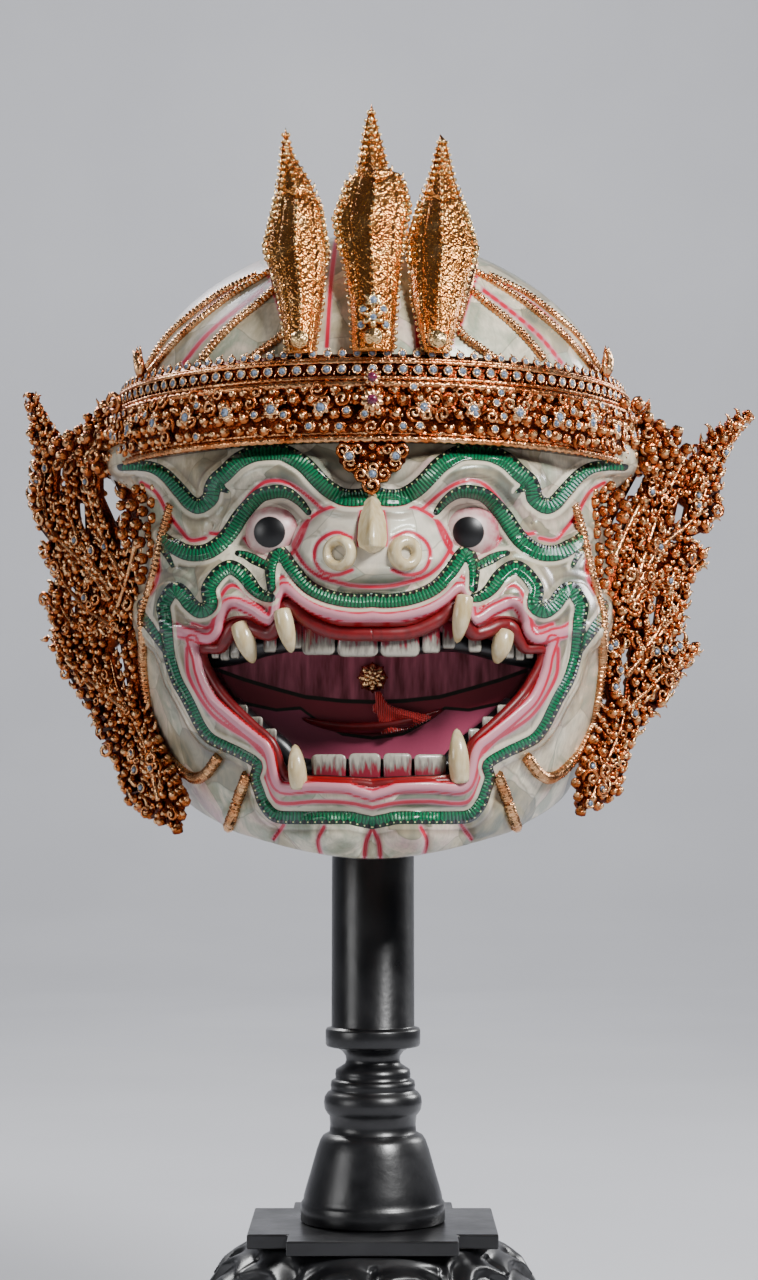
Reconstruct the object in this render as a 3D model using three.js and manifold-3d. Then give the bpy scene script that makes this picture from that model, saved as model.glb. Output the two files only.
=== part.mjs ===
// A Thai khon mask of a monkey warrior, resting on its turned and carved stand.
// Millimetres, +Z up, front faces -Y, origin at the middle of the stand's underside.
import * as THREE from 'three';
import { mergeVertices } from 'three/addons/utils/BufferGeometryUtils.js';
import Module from 'manifold-3d';

const wasm = await Module();
wasm.setup();

// Driving sizes of the mask
const CROWN_Z = 583;            // top of the skull
const SKULL_Z = 490;            // where the upright sides turn into the skull's dome
const SKULL_R = 120;            // radius of the round head under the diadem
const DOME_POWER = 0.6;         // roundness of the dome, 0.5 is an ellipse
const RIM_FRONT_Z = 273;        // lowest edge, under the chin
const RIM_RISE = 37;            // how much higher the edge lies at the sides and back
const WALL = 5;                 // lacquered paper and putty wall
const GAP = 0.35;               // clearance between pieces that touch

// The carving is laid out as it is seen from in front, from this eye
const EYE_DISTANCE = 1262;
const EYE_Z = 297;

// Driving sizes of the face
const BROW_WIDTH = 8;
const LID_WIDTH = 7;
const MOUSTACHE_WIDTH = 7;
const FRAME_WIDTH = 7;
const LIP_WIDTH = 9;
const RIBBON_HEIGHT = 3.5;
const LIP_HEIGHT = 5;
const PALATE_DEPTH = 80;        // the back of the mouth, in front of the head's middle
const MUZZLE_RISE = 17;
const SNAP_REACH = 2.9;
const EYEBALL_R = 15;
const TOOTH_PITCH = 17.5;
const TOOTH_DEPTH = 11;         // how far the teeth stand behind the lips
const UPPER_TEETH_V = 386;
const LOWER_TEETH_V = 312;
const UPPER_TOOTH_DROP = 12;
const LOWER_TOOTH_RISE = 10;

// Driving sizes of the diadem, spires and ear flames
const DIADEM_BOTTOM_Z = 461;
const DIADEM_TOP_Z = 502;
const DIADEM_THICKNESS = 11;
const DIADEM_STEPS = 40;
const SPIRE_THICKNESS = 6;
const SPIRE_LEAN = 0.49;        // how far back a spire leans for each unit of height
const FLAME_THICKNESS = 5;
const FLAME_RIGHT_SPLAY = 55;   // degrees from straight back
const FLAME_LEFT_SPLAY = 42;
const FLAME_ANCHOR_Y = -0.3083 * SKULL_R;     // where the flames leave the sides of the head

// Driving sizes of the stand
const SHAFT_R = 20.5;
const COLUMN_BOTTOM_Z = 94.3;
const COLLAR_Z = 188;
const COLUMN_SIDES = 16;
const SLAB_THICKNESS = 7;
const SLAB_REACH = 60;
const SLAB_ARM = 40.5;
const BASE_TOP_R = 62;
const BASE_FOOT_R = 101;
const BASE_FOOT_HEIGHT = 14;
const BASE_LOBES = 12;

const RING_INNER_R = (SKULL_R + GAP) / Math.cos(Math.PI / DIADEM_STEPS);

const radians = THREE.MathUtils.degToRad;
const clamp = THREE.MathUtils.clamp;
const smooth = THREE.MathUtils.smoothstep;

// Joining and cutting
function toSolid(geometry) {
  const bare = geometry.clone();
  bare.deleteAttribute('normal');
  bare.deleteAttribute('uv');
  const merged = mergeVertices(bare, 1e-4);
  const corners = merged.index.array;
  const kept = [];
  for (let i = 0; i < corners.length; i += 3) {
    const [a, b, c] = [corners[i], corners[i + 1], corners[i + 2]];
    if (a !== b && b !== c && c !== a) {
      kept.push(a, b, c);
    }
  }
  const vertProperties = new Float32Array(merged.attributes.position.array);
  const triVerts = new Uint32Array(kept);
  return new wasm.Manifold(new wasm.Mesh({ numProp: 3, vertProperties, triVerts }));
}

function toGeometry(solid) {
  const mesh = solid.getMesh();
  const geometry = new THREE.BufferGeometry();
  geometry.setAttribute('position', new THREE.BufferAttribute(new Float32Array(mesh.vertProperties), 3));
  geometry.setIndex(new THREE.BufferAttribute(new Uint32Array(mesh.triVerts), 1));
  geometry.computeVertexNormals();
  return geometry;
}

function reshape(geometry, place) {
  const position = geometry.attributes.position;
  const uv = geometry.attributes.uv;
  for (let i = 0; i < position.count; i += 1) {
    const p = new THREE.Vector3().fromBufferAttribute(position, i);
    const q = place(p, uv ? uv.getX(i) : 0, uv ? uv.getY(i) : 0);
    position.setXYZ(i, q.x, q.y, q.z);
  }
  return geometry;
}

// A smooth curve through pairs of height and size
function through(pairs, at) {
  const last = pairs.length - 1;
  if (at <= pairs[0][0]) {
    return pairs[0][1];
  }
  if (at >= pairs[last][0]) {
    return pairs[last][1];
  }
  let i = 0;
  while (at > pairs[i + 1][0]) {
    i += 1;
  }
  const slope = (a, b) => (pairs[b][1] - pairs[a][1]) / (pairs[b][0] - pairs[a][0]);
  const step = pairs[i + 1][0] - pairs[i][0];
  const t = (at - pairs[i][0]) / step;
  const m0 = (i > 0 ? (slope(i - 1, i) + slope(i, i + 1)) / 2 : slope(i, i + 1)) * step;
  const m1 = (i + 1 < last ? (slope(i, i + 1) + slope(i + 1, i + 2)) / 2 : slope(i, i + 1)) * step;
  const t2 = t * t;
  const t3 = t2 * t;
  return (2 * t3 - 3 * t2 + 1) * pairs[i][1] + (t3 - 2 * t2 + t) * m0
    + (3 * t2 - 2 * t3) * pairs[i + 1][1] + (t3 - t2) * m1;
}

// The head's plain form: half width, front and back depth at each height, as shares of the skull
const SIDE_SHAPE = [[270, 0.53], [285, 0.67], [300, 0.78], [325, 0.88], [345, 0.94],
  [370, 0.983], [400, 1], [450, 1]];
const FRONT_SHAPE = [[270, 0.87], [285, 0.935], [300, 0.975], [325, 1.02], [350, 1.05],
  [380, 1.06], [405, 1.03], [425, 1], [455, 1]];
const BACK_SHAPE = [[270, 0.7], [310, 0.82], [350, 0.93], [400, 1], [450, 1]];

function skullShare(z) {
  const t = clamp((z - SKULL_Z) / (CROWN_Z - SKULL_Z), 0, 1);
  return Math.pow(1 - t * t, DOME_POWER);
}

function rimAt(theta) {
  const turn = Math.min(Math.abs(theta) / (Math.PI / 2), 1);
  return RIM_FRONT_Z + RIM_RISE * turn * turn;
}

function seen(x, y, z) {
  const nearer = EYE_DISTANCE / (EYE_DISTANCE + y);
  return [x * nearer, EYE_Z + (z - EYE_Z) * nearer];
}

// Distances in the layout
function toLine(u, v, line) {
  let best = Infinity;
  for (let i = 0; i + 1 < line.length; i += 1) {
    const [ax, ay] = line[i];
    const [bx, by] = line[i + 1];
    const dx = bx - ax;
    const dy = by - ay;
    const t = clamp(((u - ax) * dx + (v - ay) * dy) / (dx * dx + dy * dy), 0, 1);
    best = Math.min(best, Math.hypot(u - ax - t * dx, v - ay - t * dy));
  }
  return best;
}

function inside(u, v, outline) {
  let odd = false;
  for (let i = 0, j = outline.length - 1; i < outline.length; j = i, i += 1) {
    const [ax, ay] = outline[i];
    const [bx, by] = outline[j];
    if ((ay > v) !== (by > v) && u < ((bx - ax) * (v - ay)) / (by - ay) + ax) {
      odd = !odd;
    }
  }
  return odd;
}

// The lines of the carving, for the half of the face with x > 0: [across, up] as seen from in front
const BROW = [[0, 453], [12, 451], [23, 457], [33, 467], [45, 474], [57, 474], [68, 469],
  [79, 459], [82, 450], [88, 447], [96, 453], [105, 459], [116, 461]];
const UPPER_LID = [[32, 444], [41, 453], [49, 455], [57, 452], [64, 444], [70, 436], [77, 428],
  [84, 424], [94, 424], [101, 428], [106, 433]];
const MOUSTACHE = [[0, 400], [14, 400], [29, 405], [38, 413], [46, 424], [51, 418], [51, 406]];
const FRAME = [[51, 401], [60, 406], [71, 417], [80, 409], [83, 397], [90, 396], [98, 405],
  [104, 398], [103, 380], [99, 364], [92, 348], [82, 335], [68, 324], [58, 316], [55, 301],
  [47, 293], [28, 291], [0, 290]];
const UPPER_LIP = [[0, 391], [19, 392], [34, 399], [45, 406], [50, 391], [60, 392], [69, 399],
  [76, 392], [80, 382], [90, 382], [100, 387]];
const LOWER_LIP = [[91, 380], [87, 367], [80, 351], [70, 340], [57, 330], [50, 319], [46, 308],
  [28, 307], [0, 305]];
const MOUTH = [[0, 386], [19, 387], [34, 394], [44, 400], [52, 386], [63, 390], [71, 389],
  [76, 377], [84, 374], [80, 362], [72, 350], [60, 339], [48, 328], [44, 317], [38, 313], [0, 311]];
const MUZZLE_CENTRE = [0, 427];
const EYE_CENTRE = [48, 434];

function mirrored(line) {
  return line.map(([u, v]) => [-u, v]).reverse();
}
const MOUTH_OUTLINE = [...MOUTH, ...mirrored(MOUTH).slice(1)];

// The broad forms of the face, as a rise towards the front
function faceRise(u, v) {
  const side = Math.abs(u);
  const round = (cu, cv, ru, rv) => Math.max(0, 1 - ((side - cu) / ru) ** 2 - ((v - cv) / rv) ** 2);
  const [muzzleU, muzzleV] = MUZZLE_CENTRE;
  const [eyeU, eyeV] = EYE_CENTRE;
  const muzzle = MUZZLE_RISE * Math.sqrt(round(muzzleU, muzzleV, 41, 25));
  const brow = 9 * round(52, 462, 44, 17);
  const socket = -5 * round(eyeU, eyeV, 26, 20);
  const cheek = 7 * round(88, 410, 24, 26);
  const lips = 8 * smooth(24 - toLine(side, v, UPPER_LIP), 0, 24);
  const jaw = 7 * smooth(24 - toLine(side, v, LOWER_LIP), 0, 24);
  const chin = 9 * round(22, 283, 19, 12) + 6 * round(60, 291, 16, 10);
  return Math.max(muzzle, lips, jaw) + brow + socket + cheek + chin;
}

// The ribbons and lips that are carved along the lines, and the widest of them at (u, v)
const RIBBONS = [[BROW, BROW_WIDTH, RIBBON_HEIGHT], [UPPER_LID, LID_WIDTH, RIBBON_HEIGHT],
  [MOUSTACHE, MOUSTACHE_WIDTH, RIBBON_HEIGHT], [FRAME, FRAME_WIDTH, RIBBON_HEIGHT],
  [UPPER_LIP, LIP_WIDTH, LIP_HEIGHT], [LOWER_LIP, LIP_WIDTH, LIP_HEIGHT]];

function ribbonRise(u, v) {
  const rises = RIBBONS.map(([line, width, height]) => {
    const away = toLine(Math.abs(u), v, line) / (width * 0.6);
    return height * Math.max(0, 1 - away * away);
  });
  return Math.max(...rises);
}

// The open mouth, shallower where the two rows of teeth stand in it
function mouthDrop(u, v, deep) {
  if (!inside(u, v, MOUTH_OUTLINE)) {
    return 0;
  }
  const open = Math.max(0, deep - PALATE_DEPTH);
  const edge = smooth(toLine(u, v, MOUTH_OUTLINE), 0, 5);
  const upper = v > UPPER_TEETH_V - UPPER_TOOTH_DROP;
  const lower = v < LOWER_TEETH_V + LOWER_TOOTH_RISE;
  const toothed = (upper || lower) && Math.abs(u) < 2 * TOOTH_PITCH;
  const between = Math.abs(u / TOOTH_PITCH - Math.round(u / TOOTH_PITCH)) < 0.16;
  const depth = toothed ? Math.min(TOOTH_DEPTH + (between ? 4 : 0), open) : open;
  return depth * edge;
}

// A point of the outside, round from the front (0) to the back (pi), grown outwards by some clearance
function headPoint(theta, z, grow = 0, rise = outerRise) {
  const front = Math.cos(theta) > 0;
  const share = skullShare(z) * SKULL_R;
  const wide = share * through(SIDE_SHAPE, z) + grow;
  const deep = share * through(front ? FRONT_SHAPE : BACK_SHAPE, z) + grow;
  const x = wide * Math.sin(theta);
  const y = -deep * Math.cos(theta);
  if (!front || z > SKULL_Z) {
    return new THREE.Vector3(x, y, z);
  }
  const fade = smooth(Math.cos(theta), 0.05, 0.35) * smooth(DIADEM_BOTTOM_Z - z, 7, 14);
  const turned = theta * smooth(Math.abs(theta), radians(30), radians(75));
  const lift = rise(...seen(x, y, z), -y - grow) * fade;
  return new THREE.Vector3(x + lift * Math.sin(turned), y - lift * Math.cos(turned), z);
}

// The whole carving at (u, v), where the plain head is so deep; the mouth stops at its palate
function outerRise(u, v, deep) {
  const rise = faceRise(u, v) + ribbonRise(u, v);
  return rise - mouthDrop(u, v, deep + rise);
}

function risesNear(u, v, deep, reach) {
  const rises = [outerRise(u, v, deep)];
  for (let turn = 0; turn < 8; turn += 1) {
    const angle = (turn * Math.PI) / 4;
    rises.push(outerRise(u + reach * Math.cos(angle), v + reach * Math.sin(angle), deep));
  }
  return rises;
}

// The inside keeps at least the wall behind everything that is near it
function innerRise(u, v, deep) {
  return Math.min(...risesNear(u, v, deep, 16), 0);
}

// The outside with a hair's clearance, for cutting the pieces that sit against it
function clearRise(u, v, deep) {
  return Math.max(...risesNear(u, v, deep, 1.2)) + GAP;
}

// The place on the head that the eye sees at (u, v)
function onHead(u, v, lift = 0) {
  let y = -SKULL_R;
  let offset = 0;
  let point = null;
  for (let pass = 0; pass < 12; pass += 1) {
    const farther = (EYE_DISTANCE + y) / EYE_DISTANCE;
    const z = EYE_Z + (v - EYE_Z) * farther;
    const wide = skullShare(z) * SKULL_R * through(SIDE_SHAPE, z);
    const theta = Math.asin(clamp((u * farther - offset) / wide, -1, 1));
    point = headPoint(theta, z, 0, faceRise);
    offset = point.x - wide * Math.sin(theta);
    y = point.y;
  }
  point.y -= lift;
  return point;
}

// A corner of the grid that is close to a carved line is moved onto it, so the line comes out crisp
function ontoLines(theta, z) {
  const wide = (height) => skullShare(height) * SKULL_R * through(SIDE_SHAPE, height);
  const x = wide(z) * Math.sin(theta);
  const y = -SKULL_R * through(FRONT_SHAPE, z) * Math.cos(theta) - faceRise(...seen(x, -SKULL_R, z));
  const [u, v] = seen(x, y, z);
  let shift = null;
  let nearest = SNAP_REACH;
  for (const [line] of RIBBONS) {
    for (let i = 0; i + 1 < line.length; i += 1) {
      const [ax, ay] = line[i];
      const [dx, dy] = [line[i + 1][0] - ax, line[i + 1][1] - ay];
      const t = clamp(((Math.abs(u) - ax) * dx + (v - ay) * dy) / (dx * dx + dy * dy), 0, 1);
      const move = [ax + t * dx - Math.abs(u), ay + t * dy - v];
      if (Math.hypot(...move) < nearest) {
        nearest = Math.hypot(...move);
        shift = move;
      }
    }
  }
  if (!shift) {
    return [theta, z];
  }
  const farther = (EYE_DISTANCE + y) / EYE_DISTANCE;
  const newZ = z + shift[1] * farther;
  const newX = x + Math.sign(u) * shift[0] * farther;
  return [Math.asin(clamp(newX / wide(newZ), -0.999, 0.999)), newZ];
}

// Each square of the grid is split along its shorter diagonal, which keeps the steep edges straight
function splitShort(geometry) {
  const position = geometry.attributes.position;
  const corners = geometry.index.array;
  const apart = (i, j) => {
    const from = new THREE.Vector3().fromBufferAttribute(position, i);
    return from.distanceTo(new THREE.Vector3().fromBufferAttribute(position, j));
  };
  for (let i = 0; i + 5 < corners.length; i += 3) {
    const [a, b, d, b2, c, d2] = corners.slice(i, i + 6);
    if (b === b2 && d === d2) {
      if (apart(a, c) < apart(b, d)) {
        corners.set([a, b, c, a, c, d], i);
      }
      i += 3;
    }
  }
  return geometry;
}

// The head as a solid: columns round it, closest in the face, and rows from the rim up to the crown
const FACE_TURN = radians(78);
const FACE_COLUMNS = 0.8;
const FACE_ROWS = 0.84;

function headSolid({ columns, rows, grow, rise, below }) {
  const ball = new THREE.SphereGeometry(1, columns, rows);
  const faceTurn = (share) => {
    const t = 2 * share - 1;
    const beyond = Math.max(0, Math.abs(t) - FACE_COLUMNS) / (1 - FACE_COLUMNS);
    const within = Math.min(Math.abs(t), FACE_COLUMNS) / FACE_COLUMNS;
    return Math.sign(t) * (FACE_TURN * within + (Math.PI - FACE_TURN) * beyond);
  };
  const middleZ = RIM_FRONT_Z + RIM_RISE * 0.6 - below;
  return toSolid(splitShort(reshape(ball, (p, across, up) => {
    const row = Math.round(up * rows);
    const theta = faceTurn(Math.round(across * columns) / columns);
    if (row === 0) {
      return new THREE.Vector3(0, 0, middleZ);
    }
    if (row === rows) {
      return new THREE.Vector3(0, 0, CROWN_Z + grow);
    }
    const rim = rimAt(theta);
    if (below > 0 && row === 1) {
      const edge = headPoint(theta, rim, grow, rise);
      return new THREE.Vector3(edge.x, edge.y, rim - below);
    }
    const first = below > 0 ? 2 : 1;
    const share = (row - first) / (rows - first);
    const z = rim + ((DIADEM_BOTTOM_Z - rim) * share) / FACE_ROWS;
    if (share > FACE_ROWS) {
      const t = (share - FACE_ROWS) / (1 - FACE_ROWS);
      const high = DIADEM_BOTTOM_Z + (CROWN_Z - DIADEM_BOTTOM_Z) * Math.sin((t * Math.PI) / 2) ** 0.9;
      const lifted = (grow * Math.max(0, high - SKULL_Z)) / (CROWN_Z - SKULL_Z);
      return headPoint(theta, high, grow, rise).setZ(high + lifted);
    }
    const carved = below === 0 && row > first && share < FACE_ROWS * 0.97 && Math.abs(theta) < radians(74);
    return headPoint(...(carved ? ontoLines(theta, z) : [theta, z]), grow, rise);
  })));
}

const headOuter = headSolid({ columns: 66, rows: 39, grow: 0, rise: outerRise, below: 0 });
const headInner = headSolid({ columns: 30, rows: 18, grow: -WALL, rise: innerRise, below: 40 });
const headGrown = headSolid({ columns: 66, rows: 39, grow: GAP, rise: clearRise, below: 0 });

// Crumbs that a cut leaves beside a piece are dropped
function oneBody(solid) {
  return solid.decompose().reduce((most, next) => (next.volume() > most.volume() ? next : most));
}

function joined(pieces) {
  return pieces.reduce((all, piece) => all.add(piece));
}

function maskShell() {
  return headOuter.subtract(headInner);
}

// A piece that sits against the head is cut back to a hair's clearance from it
function offHead(solid) {
  return oneBody(solid.subtract(headGrown));
}

function turnedSolid(profile, sides) {
  const points = profile.map(([r, z]) => new THREE.Vector2(r, z));
  return toSolid(new THREE.LatheGeometry(points, sides).rotateX(Math.PI / 2));
}

// A flat leaf cut to an outline, with its edges bevelled
function leafPlate(points, thickness, holes = []) {
  const shape = new THREE.Shape(points.map(([s, z]) => new THREE.Vector2(s, z)));
  for (const hole of holes) {
    shape.holes.push(new THREE.Path(hole.map(([s, z]) => new THREE.Vector2(s, z))));
  }
  const bevel = thickness / 4;
  return new THREE.ExtrudeGeometry(shape, {
    depth: thickness - 2 * bevel,
    bevelThickness: bevel,
    bevelSize: bevel,
    bevelOffset: -bevel,
    bevelSegments: 1,
  }).translate(0, 0, bevel - thickness / 2);
}

// The ear flames: openwork plates that stand off the sides of the head, as [out from the skull's side, up]
const FLAME_RIGHT = [[-7, 455], [-8, 380], [-3, 350], [-10, 330], [-19, 309], [-16.5, 295], [-8, 297.5],
  [2, 305], [4, 316], [10, 334], [26, 352], [41, 377.5], [29.5, 378], [33.5, 390], [38.5, 410],
  [45, 422], [37.5, 431], [46, 435], [52.5, 450], [54.5, 470], [58.5, 480], [67.5, 494],
  [49.5, 483.5], [41, 471.5], [34, 468], [25, 474], [14, 490], [6, 472]];
const FLAME_RIGHT_GAP = [[14, 458], [11, 459], [1, 440], [-2, 428], [1, 427], [5, 438]];
const FLAME_LEFT = [[-7, 455], [-8, 385], [-4, 355], [-13, 330], [-27, 300], [-23, 286], [-14, 290],
  [1, 300], [6, 317], [18, 342], [34, 367], [41.5, 400], [37, 413], [45, 426], [40, 428],
  [46, 436], [50.5, 451], [48.5, 468], [52, 503], [40, 484], [33, 474], [24, 483], [16, 494], [4, 478]];
const FLAME_LEFT_GAP = [[14, 462], [11, 462], [4, 445], [6, 440], [9, 441], [14, 452]];

function earFlame(outline, gap, side, splay) {
  const turn = radians(splay);
  const share = Math.sqrt(1 - (FLAME_ANCHOR_Y / SKULL_R) ** 2);
  const anchorX = side * SKULL_R * share;
  const across = side * Math.sin(turn);
  const back = Math.cos(turn);
  const onPlate = ([out, v]) => {
    const u = side * (SKULL_R + out);
    const s = (u * (EYE_DISTANCE + FLAME_ANCHOR_Y) - anchorX * EYE_DISTANCE) / (EYE_DISTANCE * across - u * back);
    const y = FLAME_ANCHOR_Y + s * back;
    return [s, EYE_Z + ((v - EYE_Z) * (EYE_DISTANCE + y)) / EYE_DISTANCE];
  };
  const plate = leafPlate(outline.map(onPlate), FLAME_THICKNESS, [gap.map(onPlate)]);
  const place = new THREE.Matrix4().makeBasis(
    new THREE.Vector3(across, back, 0),
    new THREE.Vector3(0, 0, 1),
    new THREE.Vector3(across, back, 0).cross(new THREE.Vector3(0, 0, 1)),
  );
  place.setPosition(anchorX, FLAME_ANCHOR_Y, 0);
  const clear = RING_INNER_R + DIADEM_THICKNESS + GAP;
  const ringRoom = turnedSolid([[0, DIADEM_BOTTOM_Z - GAP], [clear, DIADEM_BOTTOM_Z - GAP],
    [clear, DIADEM_TOP_Z], [0, DIADEM_TOP_Z]], DIADEM_STEPS);
  return offHead(toSolid(plate.applyMatrix4(place)).subtract(ringRoom));
}

// The diadem: a ring of ropes, stones and relief with a pendant and side leaves
function diademRing() {
  const height = DIADEM_TOP_Z - DIADEM_BOTTOM_Z;
  const at = (out, up) => [RING_INNER_R + out * DIADEM_THICKNESS, DIADEM_BOTTOM_Z + up * height];
  const profile = [at(0, 0), at(0.66, 0), at(0.75, 0.1), at(1, 0.2), at(1, 0.5), at(0.7, 0.6),
    at(0.72, 0.72), at(0.5, 0.8), at(0.55, 0.95), at(0.2, 1), at(0, 1), at(0, 0)];
  const points = profile.map(([r, z]) => new THREE.Vector2(r, z));
  const ring = new THREE.LatheGeometry(points, DIADEM_STEPS).rotateX(Math.PI / 2);
  const relief = 1.6;
  return toSolid(reshape(ring, (p, across) => {
    const step = Math.round(across * DIADEM_STEPS);
    const r = Math.hypot(p.x, p.y);
    const proud = r > RING_INNER_R + DIADEM_THICKNESS * 0.9 && step % 2 === 1;
    const share = proud ? (r - relief) / r : 1;
    return new THREE.Vector3(p.x * share, p.y * share, p.z);
  }));
}

function leafOnRing(theta, height, width, outward) {
  const shape = [[-width / 2, 0], [width / 2, 0], [width * 0.6, height * 0.35], [width * 0.15, height * 0.7],
    [width * 0.1, height], [-width * 0.25, height * 0.7], [-width * 0.6, height * 0.3]];
  const leaf = leafPlate(shape, 4);
  leaf.rotateX(Math.PI / 2 - outward);
  leaf.rotateZ(theta);
  const r = RING_INNER_R + DIADEM_THICKNESS * 0.35;
  const up = outward > 1 ? DIADEM_BOTTOM_Z + 25 : DIADEM_TOP_Z - 3;
  leaf.translate(r * Math.sin(theta), -r * Math.cos(theta), up);
  return offHead(toSolid(leaf));
}

function pendant() {
  const [top, shoulder, waist, tip] = [3, -11, -15, -21].map((below) => DIADEM_BOTTOM_Z + below);
  const drop = [[-14, top], [14, top], [14, shoulder], [7, waist], [0, tip], [-7, waist], [-14, shoulder]];
  const plate = leafPlate(drop, 6).rotateX(Math.PI / 2).translate(0, -(SKULL_R + 6.5), 0);
  return toSolid(plate);
}

function diadem() {
  const leaves = [-1, 1].flatMap((side) => [
    leafOnRing(side * radians(62), 22, 12, 0.15),
    leafOnRing(side * radians(88), 16, 12, 1.25),
  ]);
  return joined([diademRing(), pendant(), ...leaves]);
}

// Spires: leaf-shaped blades with a ridge, standing on the diadem and leaning back over the skull
const SPIRE_SEAT_Y = -(RING_INNER_R + DIADEM_THICKNESS * 0.35);
const SPIRE_CENTRE = [[-10, 529], [11, 529], [12, 550], [16, 590], [18.5, 600], [14, 617], [8, 619],
  [3, 638], [-0.5, 651.5], [-3.5, 643], [-8, 618], [-12, 614], [-19, 594], [-15, 575], [-11, 552]];
const SPIRE_LEFT = [[-43, 530], [-29, 530], [-25, 554], [-23, 580], [-26.5, 600], [-31, 612], [-40, 626],
  [-44, 639.5], [-46, 630], [-49, 602], [-54, 581], [-51, 571], [-46.5, 555]];
const SPIRE_RIGHT = [[26, 530], [38, 530], [43, 547], [52, 580], [47, 597], [41, 615], [37, 633],
  [34, 636], [30, 620], [24, 602], [18, 583], [20, 555]];

function spire(outline, seatAngle) {
  const seatX = -SPIRE_SEAT_Y * Math.sin(seatAngle);
  const seatY = SPIRE_SEAT_Y * Math.cos(seatAngle);
  const seatZ = DIADEM_TOP_Z + GAP;
  const lean = SPIRE_LEAN * Math.cos(seatAngle);
  const flatten = ([u, v]) => {
    const slope = (v - EYE_Z) / EYE_DISTANCE;
    const z = (EYE_Z + slope * (EYE_DISTANCE + seatY - seatZ * lean)) / (1 - slope * lean);
    const y = seatY + (z - seatZ) * lean;
    return [(u * (EYE_DISTANCE + y)) / EYE_DISTANCE - seatX, z];
  };
  const shape = outline.map(flatten);
  const low = Math.min(...shape.map(([, z]) => z));
  const high = Math.max(...shape.map(([, z]) => z));
  const span = high - low;
  const blade = leafPlate(shape.map(([x, z]) => [x, seatZ + ((z - low) * (high - seatZ)) / span]), SPIRE_THICKNESS);
  reshape(blade.rotateX(Math.PI / 2), (p) => new THREE.Vector3(
    seatX + p.x,
    seatY + p.y * (1 - 0.5 * smooth(p.z, seatZ, high)) + (p.z - seatZ) * lean,
    p.z,
  ));
  return offHead(toSolid(blade));
}

// The nose: a wedge of shell down the bridge, and two ringed nostrils on the muzzle
function noseBridge() {
  const wedge = [[-2.5, 455], [2.5, 455], [6.5, 441], [6.5, 428], [0, 424.5], [-6.5, 428], [-6.5, 441]];
  const block = new THREE.ExtrudeGeometry(new THREE.Shape(wedge.map(([u, v]) => new THREE.Vector2(u, v))), {
    depth: 1, bevelEnabled: false,
  });
  return offHead(toSolid(reshape(block, (p) => onHead(p.x, p.y, p.z > 0.5 ? 5 : -4))));
}

const NOSTRIL_SPREAD = 16.5;
const NOSTRIL_BELOW = 3.5;
function nostril(side) {
  const [ringR, holeR] = [8, 3];
  const [muzzleU, muzzleV] = MUZZLE_CENTRE;
  const centre = onHead(muzzleU + NOSTRIL_SPREAD * side, muzzleV - NOSTRIL_BELOW, 0);
  const profile = [[holeR, -9], [ringR, -9], [ringR, 2], [ringR - 2, 4], [holeR + 1, 4], [holeR, 2.5], [holeR, -9]];
  const ring = new THREE.LatheGeometry(profile.map(([r, h]) => new THREE.Vector2(r, h)), 10);
  ring.rotateX(Math.PI);
  ring.rotateZ(side * radians(26));
  ring.translate(centre.x, centre.y, centre.z);
  return offHead(toSolid(ring));
}

function eye(side) {
  const [u, v] = EYE_CENTRE;
  const centre = onHead(u * side, v, 8.5 - EYEBALL_R);
  return offHead(toSolid(new THREE.SphereGeometry(EYEBALL_R, 10, 8).translate(centre.x, centre.y, centre.z)));
}

// A fang curves from its root in the lip to its point
function fang(root, tip, width, rootLift, tipLift) {
  const from = onHead(...root, rootLift);
  const to = onHead(...tip, tipLift);
  to.y = from.y + rootLift - tipLift;
  const cone = new THREE.CylinderGeometry(1, 1, 1, 6, 3);
  const half = width / 2;
  const facing = Math.sign(from.z - to.z);
  return offHead(toSolid(reshape(cone, (p) => {
    const along = clamp(p.y + 0.5, 0, 1);
    const slim = half * (1 - 0.86 * along ** 1.4);
    const middle = from.clone().lerp(to, along);
    const bulge = 3 * Math.sin(along * Math.PI);
    return new THREE.Vector3(middle.x + p.x * slim, middle.y + facing * p.z * slim - bulge, middle.z);
  })));
}

const FANGS = {
  fang_upper_inner_right: { root: [46, 401], tip: [42, 378], width: 9, rootLift: 4, tipLift: 0 },
  fang_upper_inner_left: { root: [-45, 394], tip: [-40, 373], width: 9, rootLift: 4, tipLift: 0 },
  fang_upper_outer_right: { root: [66, 383], tip: [61.5, 368], width: 10, rootLift: 2, tipLift: 0 },
  fang_upper_outer_left: { root: [-66, 387], tip: [-59, 368], width: 10, rootLift: 2, tipLift: 0 },
  fang_lower_right: { root: [43.5, 310], tip: [42, 336], width: 10, rootLift: 1, tipLift: 0 },
  fang_lower_left: { root: [-36.5, 307], tip: [-38.5, 328], width: 9, rootLift: 1, tipLift: 0 },
};

// A gilt rosette on the palate with a tassel hanging from it
const ROSETTE_Z = 357;
const ROSETTE_R = 8;
function onPalate(lift) {
  return -PALATE_DEPTH - lift;
}

function mouthRosette() {
  const profile = [[0, 0], [ROSETTE_R, 0], [ROSETTE_R, 2], [ROSETTE_R * 0.5, 5], [0, 6]];
  const disc = new THREE.LatheGeometry(profile.map(([r, h]) => new THREE.Vector2(r, h)), 12);
  disc.rotateX(Math.PI);
  disc.translate(0, onPalate(GAP), ROSETTE_Z);
  return offHead(toSolid(disc));
}

function mouthTassel() {
  const length = 20;
  const profile = [[0, 0], [2.6, 1], [1.4, 6], [2.2, 14], [2.6, length - 1], [0, length]];
  const string = new THREE.LatheGeometry(profile.map(([r, h]) => new THREE.Vector2(r, h)), 8);
  string.rotateX(-Math.PI / 2);
  string.translate(2, onPalate(4.5), ROSETTE_Z - ROSETTE_R - GAP);
  return offHead(toSolid(string));
}

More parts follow.
